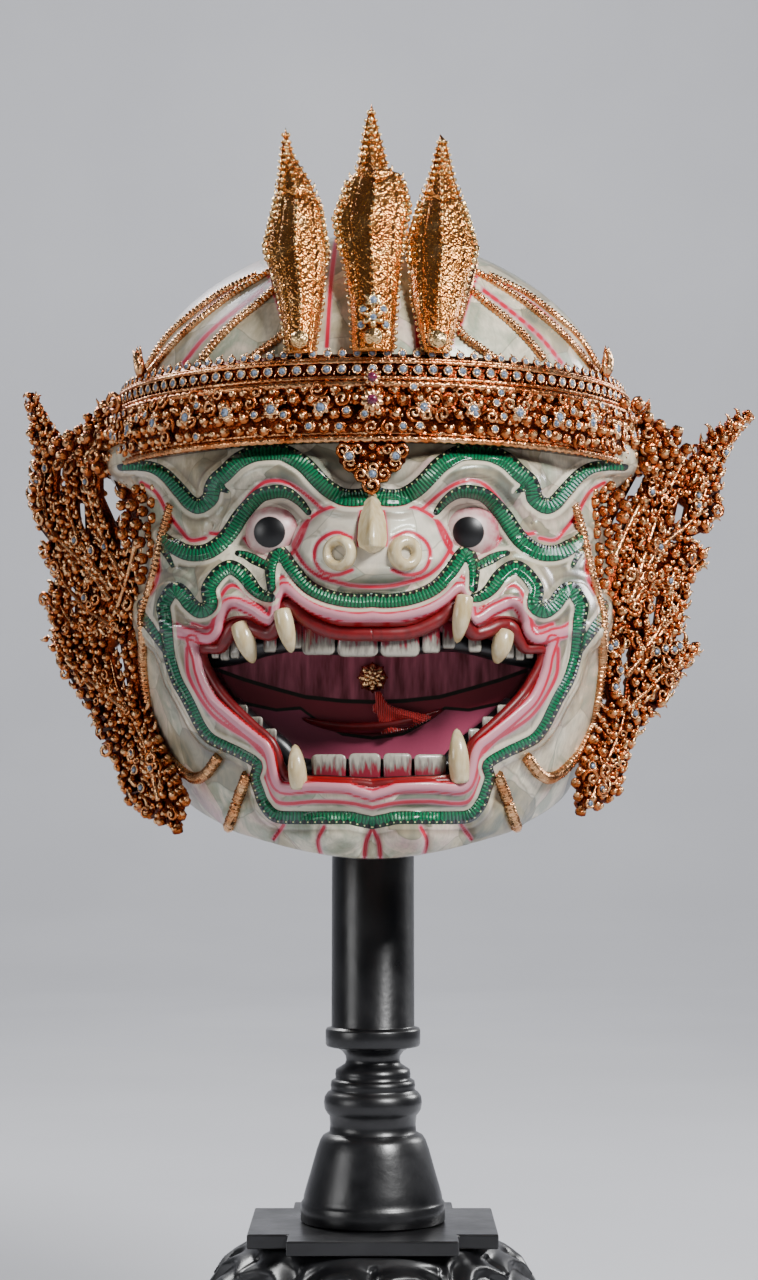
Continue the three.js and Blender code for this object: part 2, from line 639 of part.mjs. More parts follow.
// The stand: a turned column whose shaft goes up inside the mask to carry its crown
function standColumn() {
  const top = CROWN_Z - WALL - 2 * GAP;
  const dome = 8;
  const up = (height) => COLUMN_BOTTOM_Z + height;
  const below = (height) => COLLAR_Z - height;
  const profile = [
    [0, up(0)], [SHAFT_R + 15, up(0)], [SHAFT_R + 15, up(9.2)], [SHAFT_R + 14, up(11.7)],
    [SHAFT_R + 9, up(29.2)], [SHAFT_R + 5, up(40.7)], [SHAFT_R + 1, up(42.7)], [SHAFT_R + 1, up(51.2)],
    [SHAFT_R + 3.4, up(54.2)], [SHAFT_R + 3.4, up(60.7)], [SHAFT_R + 0.2, up(63.4)], [SHAFT_R + 0.2, up(68.2)],
    [SHAFT_R - 2.3, up(68.7)], [SHAFT_R - 2.3, up(73.7)], [SHAFT_R - 7.1, below(18)], [SHAFT_R - 6, below(13)],
    [SHAFT_R - 3, below(9.4)], [SHAFT_R + 2.9, below(8.5)], [SHAFT_R + 2.9, COLLAR_Z], [SHAFT_R, COLLAR_Z + 0.6],
    [SHAFT_R - 0.5, top - dome], [SHAFT_R - 9, top - dome * 0.5], [0, top],
  ];
  return turnedSolid(profile, COLUMN_SIDES);
}

const SLAB_TOP_Z = COLUMN_BOTTOM_Z - GAP;
const SLAB_BOTTOM_Z = SLAB_TOP_Z - SLAB_THICKNESS;

function standSlab() {
  const [far, arm] = [SLAB_REACH, SLAB_ARM];
  const quarter = [[far, -arm], [far, arm], [arm, arm]];
  const outline = [];
  for (let turn = 0; turn < 4; turn += 1) {
    const angle = (turn * Math.PI) / 2;
    for (const [x, y] of quarter) {
      outline.push(new THREE.Vector2(x, y).rotateAround(new THREE.Vector2(0, 0), angle));
    }
  }
  const slab = new THREE.ExtrudeGeometry(new THREE.Shape(outline), { depth: SLAB_THICKNESS, bevelEnabled: false });
  return toSolid(slab.translate(0, 0, SLAB_BOTTOM_Z));
}

// The carved base swells down in shallow lobes to a plain round foot
function standBase() {
  const top = SLAB_BOTTOM_Z - GAP;
  const grow = BASE_FOOT_R - BASE_TOP_R;
  const profile = [[0, 0], [BASE_FOOT_R, 0], [BASE_FOOT_R, BASE_FOOT_HEIGHT], [BASE_FOOT_R - 5, BASE_FOOT_HEIGHT + 3],
    [BASE_TOP_R + grow * 0.83, top * 0.37], [BASE_TOP_R + grow * 0.62, top * 0.58],
    [BASE_TOP_R + grow * 0.45, top * 0.74], [BASE_TOP_R + grow * 0.28, top * 0.87],
    [BASE_TOP_R, top - 3], [BASE_TOP_R - 3, top], [0, top]];
  const points = profile.map(([r, z]) => new THREE.Vector2(r, z));
  const sides = BASE_LOBES * 2;
  const lobes = new THREE.LatheGeometry(points, sides).rotateX(Math.PI / 2);
  return toSolid(reshape(lobes, (p) => {
    const carved = p.z > BASE_FOOT_HEIGHT + 4 && p.z < top - 1;
    const angle = Math.atan2(p.y, p.x);
    const share = carved ? 1 + 0.03 * Math.cos(BASE_LOBES * angle) : 1;
    return new THREE.Vector3(p.x * share, p.y * share, p.z);
  }));
}

// Finishes
function finish(color, metalness, roughness) {
  return new THREE.MeshStandardMaterial({ color, metalness, roughness, flatShading: true });
}
const PEARL = finish('#C9C6B8', 0, 0.3);
const BONE = finish('#D8C7A0', 0, 0.35);
const GILT = finish('#B8672A', 0.9, 0.35);
const LACQUER = finish('#0E0E10', 0, 0.35);
const RED = finish('#C81E1E', 0, 0.5);

const mask = new THREE.Group();
function addPiece(name, solid, material) {
  const mesh = new THREE.Mesh(toGeometry(solid), material);
  mesh.name = name;
  mask.add(mesh);
}

addPiece('mask_shell', maskShell(), PEARL);
addPiece('diadem', diadem(), GILT);
addPiece('ear_flame_right', earFlame(FLAME_RIGHT, FLAME_RIGHT_GAP, 1, FLAME_RIGHT_SPLAY), GILT);
addPiece('ear_flame_left', earFlame(FLAME_LEFT, FLAME_LEFT_GAP, -1, FLAME_LEFT_SPLAY), GILT);
addPiece('spire_centre', spire(SPIRE_CENTRE, 0), GILT);
addPiece('spire_left', spire(SPIRE_LEFT, radians(-16)), GILT);
addPiece('spire_right', spire(SPIRE_RIGHT, radians(14)), GILT);
addPiece('nose_bridge', noseBridge(), BONE);
addPiece('nostril_right', nostril(1), BONE);
addPiece('nostril_left', nostril(-1), BONE);
addPiece('eye_right', eye(1), PEARL);
addPiece('eye_left', eye(-1), PEARL);
for (const [name, { root, tip, width, rootLift, tipLift }] of Object.entries(FANGS)) {
  addPiece(name, fang(root, tip, width, rootLift, tipLift), BONE);
}
addPiece('mouth_rosette', mouthRosette(), GILT);
addPiece('mouth_tassel', mouthTassel(), RED);
addPiece('stand_column', standColumn(), LACQUER);
addPiece('stand_slab', standSlab(), LACQUER);
addPiece('stand_base', standBase(), LACQUER);

export default mask;
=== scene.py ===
"""A Thai khon mask of a monkey warrior on its stand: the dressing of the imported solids."""

import math
import random

import bmesh
import bpy
import numpy as np
from mathutils import Matrix, Vector


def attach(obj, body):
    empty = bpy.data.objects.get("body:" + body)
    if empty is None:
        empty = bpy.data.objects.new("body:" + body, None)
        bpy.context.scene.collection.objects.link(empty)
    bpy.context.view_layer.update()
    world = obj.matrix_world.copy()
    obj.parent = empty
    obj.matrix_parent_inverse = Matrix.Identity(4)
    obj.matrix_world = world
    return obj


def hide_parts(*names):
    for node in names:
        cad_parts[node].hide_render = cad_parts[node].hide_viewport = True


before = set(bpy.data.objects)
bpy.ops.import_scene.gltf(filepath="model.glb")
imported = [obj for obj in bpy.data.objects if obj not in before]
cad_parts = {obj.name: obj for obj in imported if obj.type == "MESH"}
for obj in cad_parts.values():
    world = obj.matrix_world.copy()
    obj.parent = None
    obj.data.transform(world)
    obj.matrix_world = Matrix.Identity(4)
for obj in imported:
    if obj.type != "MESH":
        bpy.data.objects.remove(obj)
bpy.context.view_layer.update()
chance = random.Random(7)

# Sizes in millimetres, as in the part's source
CROWN_Z = 583
SKULL_Z = 490
SKULL_R = 120
DOME_POWER = 0.6
RIM_FRONT_Z = 273
RIM_RISE = 37
WALL = 5
GAP = 0.35
EYE_DISTANCE = 1262
EYE_Z = 297
PALATE_DEPTH = 80
MOUTH_DEPTH = 60
FACE_TOP_Z = 466
DIADEM_BOTTOM_Z = 461
DIADEM_TOP_Z = 502
DIADEM_THICKNESS = 11
RING_R = 120.8
SPIRE_LEAN = 0.49
FLAME_ANCHOR_Y = -37
SIDE_SHAPE = [(270, .53), (285, .67), (300, .78), (325, .88), (345, .94), (370, .983), (400, 1), (450, 1)]
FRONT_SHAPE = [(270, .87), (285, .935), (300, .975), (325, 1.02), (350, 1.05), (380, 1.06), (405, 1.03),
               (425, 1), (455, 1)]
BACK_SHAPE = [(270, .7), (310, .82), (350, .93), (400, 1), (450, 1)]

# Sizes of this script alone, in millimetres, and counts
EYE_BALL_R = 14.6
PUPIL_R = 7.9
WING = 12
HEAD_COLUMNS, HEAD_ROWS = 392, 248
INSIDE_SHARE = 0.09
FACE_SHARE = 0.8
FACING_STONES = 36
SMALL_STONES = 116
SEEDS = 240
SPIRE_BEADS = 34
SPIRE_COLUMNS, SPIRE_ROWS = 96, 200
BASE_COLUMNS, BASE_ROWS = 420, 108
FLAME_PLATE = 2.4
CORD_R, FACE_CORD_R = 2, 2.5


def flowing(points, step=2.0):
    """A smooth line through the points, about one step between its own points."""
    p = np.array(points, float)
    p = np.vstack([2 * p[0] - p[1], p, 2 * p[-1] - p[-2]])
    made = []
    for a, b, c, d in zip(p[:-3], p[1:-2], p[2:-1], p[3:]):
        count = max(2, int(np.linalg.norm(c - b) / step) + 1)
        for t in np.arange(count) / count:
            made.append(0.5 * (2 * b + (c - a) * t + (2 * a - 5 * b + 4 * c - d) * t**2
                               + (3 * b - a - 3 * c + d) * t**3))
    return np.array(made + [p[-2]])


# The lines of the carving, as the camera sees them: across and up, for the half with x > 0
BROW = [(0, 453.5), (6, 451.5), (13.5, 451.5), (18.5, 453.5), (23.5, 457), (28.5, 462), (33.5, 467.5),
        (38.5, 471), (44.5, 474), (51, 474.5), (58.5, 473.8), (63.5, 472), (68.5, 469), (73.5, 464),
        (78.5, 459.5), (80.5, 455), (81, 451.5), (84, 448.5), (87.5, 447), (91.5, 449), (95, 453),
        (98.5, 457), (102.5, 461.5), (107, 465), (112, 467), (119, 467.5), (126, 467)]
BROW_HOOK = [(79, 460), (76, 456.5), (72.5, 454.5)]
UPPER_LID = [(32, 444), (36, 449), (41, 453), (46, 454.5), (51, 454), (56, 452.5), (61, 448), (66, 442),
             (69.5, 436.5), (73.5, 431), (78.5, 426.5), (83.5, 424), (88.5, 423.3), (93.5, 424),
             (98.5, 426.5), (102.5, 429.5), (105.5, 432.5)]
LID_TAIL = [(105, 426), (102, 421), (100, 417)]
LOWER_LID = [(67.5, 423.5), (63.5, 422.5), (58.5, 420), (52.5, 417)]
MOUSTACHE = [(0, 400), (6, 399.5), (13.5, 400), (21, 401.5), (28.5, 404.5), (33.5, 408), (37.5, 412.5),
             (41, 417), (43.5, 421), (47, 424.5), (50, 420), (51, 414), (50.5, 406)]
CHEEK_BAND = [(50.5, 401), (53.5, 401.5), (58.5, 405), (63.5, 411.5), (67.5, 415), (71.5, 416.5), (76, 414),
              (79.5, 410), (82, 405), (81, 397.5), (86, 394.5), (91, 398), (93.5, 401.5), (97, 405),
              (100, 405), (102.5, 401.5), (104.5, 397), (103.5, 390), (102.5, 380), (101.5, 372.5),
              (99.5, 365), (97, 358.5), (93, 351.5), (89, 343.5), (86, 337.5), (81, 331), (73.5, 327),
              (66, 323.5), (57.5, 318), (58.5, 311.5), (56.5, 305), (54, 298.5), (48.5, 292.5),
              (38.5, 291.5), (13.5, 291.5), (7.5, 290.5), (0, 289)]
TUFT = [(113.5, 401), (116.5, 397.5), (113.5, 390), (109.5, 384), (104, 376)]
UPPER_LIP = [(0, 391.5), (8.5, 391), (18.5, 392.5), (28.5, 395.5), (36, 400), (41, 404.5), (44.5, 406),
             (48, 400), (49.5, 390), (54.5, 391), (58.5, 394), (63.5, 396.5), (68.5, 398.5), (72.5, 397.5),
             (75, 394), (76.5, 389), (77.5, 384), (81, 380.5), (86, 381), (91, 383), (96, 384), (100, 386.5)]
LOWER_LIP = [(90, 380), (87.5, 372.5), (86, 365), (83.5, 357.5), (79.5, 350), (73.5, 344), (66, 337.5),
             (58.5, 331.5), (53.5, 327.5), (51, 322.5), (50, 317.5), (48.5, 311), (46, 307), (41, 306),
             (28.5, 307), (13.5, 306.5), (8.5, 305), (0, 302.5)]
MOUTH = [(0, 386), (10, 386), (19, 387), (27, 390), (34, 394), (40, 399), (44, 400), (47, 393), (52, 386),
         (57, 387), (63, 390), (71, 389), (74, 383), (77, 377), (84, 374), (80, 362), (72, 350), (60, 339),
         (52, 332), (48, 328), (46, 322), (44, 317), (38, 313), (20, 312), (0, 311)]
MUZZLE = [(6, 446.5), (13.5, 447.5), (21, 446.5), (26, 444.5), (31, 441), (35, 436.5), (38.5, 430),
          (39.5, 427), (37, 422), (32.5, 416), (26, 411.5), (16, 408.5), (8.5, 407), (0, 406.5)]
RED_LINES = [
    MUZZLE,
    [(25, 445.5), (33.5, 453), (41, 458), (48.5, 460), (56, 458), (63.5, 450), (69.5, 440), (76, 433.5),
     (81, 433.5)],
    [(83.5, 431), (91, 430), (96, 435), (102.5, 443.5), (108.5, 454), (116, 459)],
    [(5, 447.5), (6.5, 438), (7, 427.5)],
    [(10, 431), (18, 434), (26, 430), (29, 423), (26, 415), (18, 412.5), (10, 415)],
    [(0, 396), (13.5, 395.8), (22, 397), (30, 400.5), (36, 405), (40.5, 410), (44, 412), (47, 410)],
    [(54, 396), (60, 400.5), (66, 406), (71.5, 407), (76, 401), (78.5, 392), (82, 386), (90, 388)],
    [(92.5, 376), (92.5, 370), (91.5, 362), (86.5, 352), (79.5, 342.5), (71, 336), (62, 330.5), (55.5, 324)],
    [(55, 322), (54, 312), (50, 302), (44, 298.5), (28, 299.5), (13, 299), (0, 296.5)],
    [(32, 440), (37, 428), (42, 422), (50, 420.5), (58, 424), (64, 431)],
    [(108, 426), (107, 415), (109, 407), (112, 402)],
    [(-1, 288), (3, 280), (4, 271)], [(24, 287), (27, 280), (25, 272)], [(44, 288), (49, 281)],
    [(62, 312), (66, 300), (71.5, 286.5)],
]
CHIN_CREASES = [flowing(line) for line in (
    [(-1, 294), (3, 280), (4, 268)], [(24, 292), (27, 280), (25, 268)], [(44, 292), (49, 281), (52, 272)],
    [(68, 296), (70, 288), (72, 278)])]
FLOOR_EDGE = [(0, 331), (15, 333), (28, 340), (36, 346), (48, 345), (62, 348), (80, 352)]
DOME_RED = [flowing(line) for line in (
    [(18.5, 582), (21, 560), (23, 527)], [(52.5, 565), (47, 548), (44, 538)], [(40, 536), (40, 527)],
    [(55, 557), (68, 547), (84, 533), (96, 518)], [(43, 536), (54, 526), (62, 520)],
    [(60, 562), (84, 546), (106, 524)])]
RED_ROLL = [(0, 383), (10, 383), (19, 384), (27, 387), (34, 391), (38.5, 395.5), (43, 397), (45.5, 391),
            (50, 383.5), (57, 384.5), (63, 387), (69, 386.5), (72.5, 381), (76, 376), (83.5, 375.5),
            (84, 370), (80, 361.5), (73, 351), (60.5, 338.5), (52, 331), (48.5, 326), (45.5, 317),
            (42.5, 311.5), (38, 309.5), (20, 309), (8, 308.5), (0, 307.5)]
PALATE_EDGE = [(0, 349), (15, 349.5), (33.5, 351.5), (50, 356), (63.5, 360), (80, 366)]
CHIN_COIL = [(62, 312.5), (65.5, 304), (68.5, 295), (71.5, 286.5)]
JAW_COIL = [(103.5, 447.5), (107.5, 434), (110.5, 420), (114.5, 404), (118, 392.5), (117.5, 380),
            (117.5, 370), (116.5, 360), (115, 350), (113, 340), (109.5, 331.5), (105.5, 324), (100, 317.5),
            (95, 313), (90, 311), (85, 313.5), (81, 318.5), (79, 321.5)]
EYE = (48, 434)


def linear(code):
    """An sRGB hex colour as the linear colour that a shader socket takes."""
    shares = [int(code[i:i + 2], 16) / 255 for i in (1, 3, 5)]
    return [s / 12.92 if s < 0.04045 else ((s + 0.055) / 1.055) ** 2.4 for s in shares] + [1]


def add_node(tree, kind, inputs=None, stops=(), **settings):
    """A node with its settings and a ramp's colour stops. A node given for an input links its live output."""
    node = tree.nodes.new("ShaderNode" + kind)
    for key, value in settings.items():
        setattr(node, key, value)
    for key, value in (inputs or {}).items():
        if isinstance(value, bpy.types.Node):
            value = next(output for output in value.outputs if output.enabled)
        if isinstance(value, bpy.types.NodeSocket):
            tree.links.new(value, node.inputs[key])
        else:
            node.inputs[key].default_value = linear(value) if isinstance(value, str) else value
    if stops:
        elements = node.color_ramp.elements
        elements[0].position, elements[1].position = stops[0][0], stops[-1][0]
        for position, _ in stops[1:-1]:
            elements.new(position)
        for element, (_, code) in zip(elements, stops):
            element.color = linear(code)
    return node


def new_material(name, **sockets):
    """A material whose shader holds the constants, with its tree, its shader and the place on the object."""
    material = bpy.data.materials.new(name)
    material.use_nodes = True
    tree = material.node_tree
    shader = tree.nodes["Principled BSDF"]
    for key, value in sockets.items():
        shader.inputs[key.replace("_", " ")].default_value = value
    return material, tree, shader, add_node(tree, "TexCoord").outputs["Object"]


def surface(tree, shader, colour, height=None, strength=0.0, depth=0.0):
    """Gives the shader its colour, and with a height its fine relief, whose depth is in metres."""
    tree.links.new(next(output for output in colour.outputs if output.enabled), shader.inputs["Base Color"])
    if height is not None:
        bump = add_node(tree, "Bump", {"Height": height, "Strength": strength, "Distance": depth})
        tree.links.new(bump.outputs["Normal"], shader.inputs["Normal"])


def painted(tree, ground, coats):
    """Coats of paint over the ground: what each goes by, where it starts and is full, its share, its
    colour, and the area that bounds it."""
    for value, start, full, most, colour, area in coats:
        share = add_node(tree, "MapRange", {"Value": value, "From Min": start, "From Max": full,
                                            "To Max": most})
        if area is not None:
            share = add_node(tree, "Math", {0: share, 1: area}, operation="MULTIPLY")
        ground = add_node(tree, "Mix", {0: share, 6: ground, 7: colour}, data_type="RGBA")
    return ground


# Forms
def smooth(value, low, high):
    t = np.clip((value - low) / (high - low), 0, 1)
    return t * t * (3 - 2 * t)


def through(pairs, at):
    """A smooth curve through pairs of height and size."""
    heights, sizes = np.array(pairs, float).T
    slopes = np.diff(sizes) / np.diff(heights)
    turns = np.concatenate([slopes[:1], (slopes[:-1] + slopes[1:]) / 2, slopes[-1:]])
    at = np.clip(at, heights[0], heights[-1])
    i = np.clip(np.searchsorted(heights, at, side="right") - 1, 0, len(heights) - 2)
    step = heights[i + 1] - heights[i]
    t = (at - heights[i]) / step
    return ((2 * t**3 - 3 * t**2 + 1) * sizes[i] + (t**3 - 2 * t**2 + t) * turns[i] * step
            + (3 * t**2 - 2 * t**3) * sizes[i + 1] + (t**3 - t**2) * turns[i + 1] * step)


def measure(u, v, line):
    """How far each point is from the line, how far along it, and off to its left or right."""
    away = np.full(u.shape, 1e3)
    along = np.zeros(u.shape)
    left = np.zeros(u.shape)
    walked = 0.0
    for (ax, ay), (bx, by) in zip(line[:-1], line[1:]):
        dx, dy = bx - ax, by - ay
        length = math.hypot(dx, dy)
        t = np.clip(((u - ax) * dx + (v - ay) * dy) / length**2, 0, 1)
        ex, ey = u - ax - t * dx, v - ay - t * dy
        far = np.hypot(ex, ey)
        nearer = far < away
        away = np.where(nearer, far, away)
        along = np.where(nearer, walked + t * length, along)
        left = np.where(nearer, (dx * ey - dy * ex) / length, left)
        walked += length
    return away, along, left, walked


def inside(u, v, outline):
    odd = np.zeros(u.shape, bool)
    for (ax, ay), (bx, by) in zip(outline, np.roll(outline, 1, axis=0)):
        if ay != by:
            odd ^= ((ay > v) != (by > v)) & (u < (bx - ax) * (v - ay) / (by - ay) + ax)
    return odd


def skull_share(z):
    t = np.clip((z - SKULL_Z) / (CROWN_Z - SKULL_Z), 0, 1)
    return (1 - t * t) ** DOME_POWER


def rim_at(theta):
    return RIM_FRONT_Z + RIM_RISE * np.minimum(np.abs(theta) / (math.pi / 2), 1) ** 2


def seen(x, y, z):
    nearer = EYE_DISTANCE / (EYE_DISTANCE + y)
    return x * nearer, EYE_Z + (z - EYE_Z) * nearer


MOUTH_HALF = flowing(MOUTH, 3)
MOUTH_OUTLINE = np.vstack([MOUTH_HALF, MOUTH_HALF[::-1][1:] * (-1, 1)])


def face_rise(u, v):
    """The broad forms of the face, as a rise towards the front."""
    side = np.abs(u)

    def mound(cu, cv, ru, rv):
        return np.maximum(0, 1 - ((side - cu) / ru) ** 2 - ((v - cv) / rv) ** 2)

    muzzle = 17 * np.sqrt(mound(0, 427, 41, 25))
    lips = 8 * smooth(24 - measure(side, v, UPPER_LIP)[0], 0, 24)
    jaw = 7 * smooth(24 - measure(side, v, LOWER_LIP)[0], 0, 24)
    chin = 9 * mound(22, 283, 19, 12) + 6 * mound(60, 291, 16, 10)
    return (np.maximum(np.maximum(muzzle, lips), jaw) + 9 * mound(52, 462, 44, 17)
            - 5 * mound(*EYE, 26, 20) + 7 * mound(88, 410, 24, 26) + chin)


def mouth_drop(u, v):
    depth = smooth(measure(np.abs(u), v, MOUTH_HALF)[0], 0, 5) * MOUTH_DEPTH
    return np.where(inside(u, v, MOUTH_OUTLINE), depth, 0)


def outer_rise(u, v, deep):
    rise = face_rise(u, v)
    return rise - np.minimum(mouth_drop(u, v), np.maximum(0, deep + rise - PALATE_DEPTH))


def inner_rise(u, v, deep):
    lowest = np.minimum(outer_rise(u, v, deep), 0)
    for turn in range(8):
        angle = turn * math.pi / 4
        lowest = np.minimum(lowest, outer_rise(u + 16 * math.cos(angle), v + 16 * math.sin(angle), deep))
    return lowest


def head_point(theta, z, grow=0.0, rise=face_rise, top=(1, 6)):
    """A point of the head, round from the front (0) to the back (pi)."""
    front = np.cos(theta) > 0
    share = skull_share(z) * SKULL_R
    wide = share * through(SIDE_SHAPE, z) + grow
    deep = share * np.where(front, through(FRONT_SHAPE, z), through(BACK_SHAPE, z)) + grow
    x, y = wide * np.sin(theta), -deep * np.cos(theta)
    fade = np.where(front, smooth(np.cos(theta), .05, .35) * smooth(DIADEM_BOTTOM_Z - z, *top), 0)
    turned = theta * smooth(np.abs(theta), math.radians(30), math.radians(75))
    u, v = seen(x, y, z)
    lift = (rise(u, v) if rise in (face_rise, carving) else rise(u, v, -y - grow)) * fade
    wing = 0 * x
    if rise is carved_rise:
        wing = WING * smooth(np.abs(theta), .8, 1.3) * smooth(2.1 - np.abs(theta), 0, .5)
        wing *= smooth(z, 446, 463) * smooth(478 - z, 0, 8) * np.sign(x)
    x, y = x + lift * np.sin(turned) + wing, y - lift * np.cos(turned) - np.abs(wing) * .6
    return np.stack([x, y, z + 0 * x], axis=-1)


def on_head(u, v, lift=0.0, rise=face_rise):
    """The places on the head that the camera sees at (u, v)."""
    u, v = np.atleast_1d(np.asarray(u, float)), np.atleast_1d(np.asarray(v, float))
    y, offset = np.full(u.shape, -float(SKULL_R)), np.zeros(u.shape)
    for _ in range(12):
        farther = (EYE_DISTANCE + y) / EYE_DISTANCE
        z = EYE_Z + (v - EYE_Z) * farther
        wide = skull_share(z) * SKULL_R * through(SIDE_SHAPE, z)
        theta = np.arcsin(np.clip((u * farther - offset) / np.maximum(wide, 1), -1, 1))
        point = head_point(theta, z, 0, rise)
        offset = point[:, 0] - wide * np.sin(theta)
        y = point[:, 1]
    point[:, 1] -= lift
    return point


# Each carved ribbon: its line, its half width from start to end, and how proud it stands
GREEN = [
    (flowing(BROW), [(0, 4.4), (.62, 4.2), (.8, 3.6), (1, 2.2)], 3.2),
    (flowing(BROW_HOOK), [(0, 3), (1, 1)], 2.4),
    (flowing(UPPER_LID), [(0, 1.6), (.2, 3.4), (.5, 4.2), (.9, 4), (1, 2.4)], 3.2),
    (flowing(LID_TAIL), [(0, 2), (1, 1)], 2),
    (flowing(LOWER_LID), [(0, 1.4), (.5, 2.6), (1, 2.2)], 2.2),
    (flowing(MOUSTACHE), [(0, 3.6), (.7, 3.5), (1, 2.2)], 3.2),
    (flowing(CHEEK_BAND), [(0, 2.2), (.05, 3.6), (.27, 3.8), (.42, 3), (.75, 2.6), (.82, 3.2), (1, 3.2)], 3),
    (flowing(TUFT), [(0, .8), (.5, 2.6), (1, 2)], 2.4),
]
LIP_HALF = 2.6
PINK = [(flowing(line), LIP_HALF, 4.2) for line in (UPPER_LIP, LOWER_LIP)]
FINE_RED = [flowing(line) for line in RED_LINES]
PEARL_ROLLS = [
    ([(0, 445), (14, 444), (24, 448), (33, 456), (41, 462.5), (50, 465), (59, 463.5), (66, 458), (73, 450),
      (78, 443)], 3.6, 2.6),
    ([(84, 438), (92, 438.5), (98, 445), (104, 453), (112, 457)], 3.4, 2.4),
    ([(0, 412), (12, 412), (24, 414), (32, 419)], 2.6, 1.2),
    ([(55, 408), (62, 419), (70, 423), (79, 418.5), (88, 406), (95, 412), (104, 410)], 3, 1.8),
    ([(92, 379), (91, 368), (88, 358), (82, 348), (74, 340), (64, 333.5), (57, 328), (54.5, 318)], 2.6, 2.4),
    ([(52, 310), (49, 302), (42, 299), (28, 300.5), (13, 300), (0, 297)], 3, 2.6),
]
PEARL_ROLLS = [(flowing(line), half, height) for line, half, height in PEARL_ROLLS]


def carving(u, v):
    """Everything that is carved in the face, but the open mouth."""
    side = np.abs(u)
    proud = np.zeros(u.shape)
    for line, halves, height in GREEN:
        away, along, _, whole = measure(side, v, line)
        half = np.interp(along / whole, *np.array(halves).T)
        proud = np.maximum(proud, height * smooth(half - away, -.7, 1.5))
        proud = np.maximum(proud, 1.5 * smooth(half + 2.2 - away, -.5, .9))
    for line, half, height in PINK + PEARL_ROLLS:
        away = measure(side, v, line)[0]
        proud = np.maximum(proud, height * np.sqrt(np.clip(1 - (away / (half + .8)) ** 2, 0, 1)))
    groove = sum(.9 * np.clip(1 - measure(side, v, line)[0] / 1.3, 0, 1) for line in FINE_RED)
    creases = sum(3.2 * np.clip(1 - measure(side, v, line)[0] / 5, 0, 1) ** 2 for line in CHIN_CREASES)
    chin = 3.5 * smooth(290 - v, 0, 8) - creases * smooth(292 - v, 0, 6)
    return face_rise(u, v) + proud - groove * (proud < 2) + chin


def carved_rise(u, v, deep):
    rise = carving(u, v)
    return rise - np.minimum(mouth_drop(u, v), np.maximum(0, deep + rise - PALATE_DEPTH))


# Making pieces
def add_values(mesh, name, values):
    """An attribute on the points of a mesh, which its material reads."""
    mesh.attributes.new(name, "FLOAT", "POINT").data.foreach_set("value", np.asarray(values, np.float32))


def wrapped(columns, rows, place):
    """A closed grid laid on a form: place takes shares across and up, and gives points in millimetres."""
    bm = bmesh.new()
    bmesh.ops.create_grid(bm, x_segments=columns, y_segments=rows, size=0.5)
    flat = np.array([v.co for v in bm.verts])
    for vert, point in zip(bm.verts, place(flat[:, 0] + 0.5, flat[:, 1] + 0.5)):
        vert.co = point
    bmesh.ops.remove_doubles(bm, verts=bm.verts, dist=0.002)
    ends = [e for e in bm.edges if e.is_boundary]
    if ends:
        bmesh.ops.holes_fill(bm, edges=ends)
    bmesh.ops.recalc_face_normals(bm, faces=bm.faces)
    return bm


def tube(path, radii, sides=8, bump=None, ring=False, flat=1.0):
    """A round rod along the path; bump changes its radius with the way along and round."""
    path = np.array(path, float)
    radii = np.broadcast_to(np.asarray(radii, float), (len(path),))
    ahead = np.gradient(path, axis=0)
    if ring:
        ahead[0] = ahead[-1] = path[1] - path[-2]
    ahead /= np.linalg.norm(ahead, axis=1)[:, None]
    walked = np.concatenate([[0], np.cumsum(np.linalg.norm(np.diff(path, axis=0), axis=1))])
    normals = [np.cross(ahead[0], (0.13, 0.21, 0.97))]
    for way in ahead[1:]:
        normals.append(normals[-1] - way * np.dot(normals[-1], way))
    normals = np.array(normals)
    normals /= np.linalg.norm(normals, axis=1)[:, None]
    sideways = np.cross(ahead, normals)

    def place(across, up):
        i = np.rint(up * (len(path) - 1)).astype(int)
        turn = across * 2 * math.pi
        radius = radii[i] * (1 if bump is None else bump(walked[i], turn))
        return path[i] + radius[:, None] * (np.cos(turn)[:, None] * normals[i]
                                            + flat * np.sin(turn)[:, None] * sideways[i])

    return wrapped(sides, len(path) - 1, place)


def lathe(profile, steps=48):
    """A turned form: pairs of radius and height, from the bottom to the top."""
    bm = bmesh.new()
    verts = [bm.verts.new((r, 0, z)) for r, z in profile]
    edges = [bm.edges.new(pair) for pair in zip(verts[:-1], verts[1:])]
    bmesh.ops.spin(bm, geom=verts + edges, axis=(0, 0, 1), cent=(0, 0, 0), angle=2 * math.pi,
                   steps=steps, use_merge=True)
    bmesh.ops.remove_doubles(bm, verts=bm.verts, dist=0.002)
    bmesh.ops.recalc_face_normals(bm, faces=bm.faces)
    return bm


def thickened(bm, faces, push):
    """The faces pushed out, with walls round them."""
    moved = bmesh.ops.extrude_face_region(bm, geom=faces)["geom"]
    bmesh.ops.translate(bm, vec=push, verts=[g for g in moved if isinstance(g, bmesh.types.BMVert)])
    bmesh.ops.recalc_face_normals(bm, faces=bm.faces)
    return bm


def as_template(bm, high=None):
    """A small mesh to repeat. Its attribute high tells the tops from the hollows: the gilt paints the tops
    pale as a highlight and the hollows dark as shade, and a piece given one high is painted that light or
    dark all over.
    """
    mesh = bpy.data.meshes.new("template")
    bm.to_mesh(mesh)
    bm.free()
    heights = np.array([v.co.z for v in mesh.vertices])
    if high is None:
        add_values(mesh, "high", (heights - heights.min()) / max(np.ptp(heights), 1e-6))
    else:
        add_values(mesh, "high", np.full(len(heights), high))
    return mesh


def once(bm, high):
    return as_template(bm, high), [Matrix()]


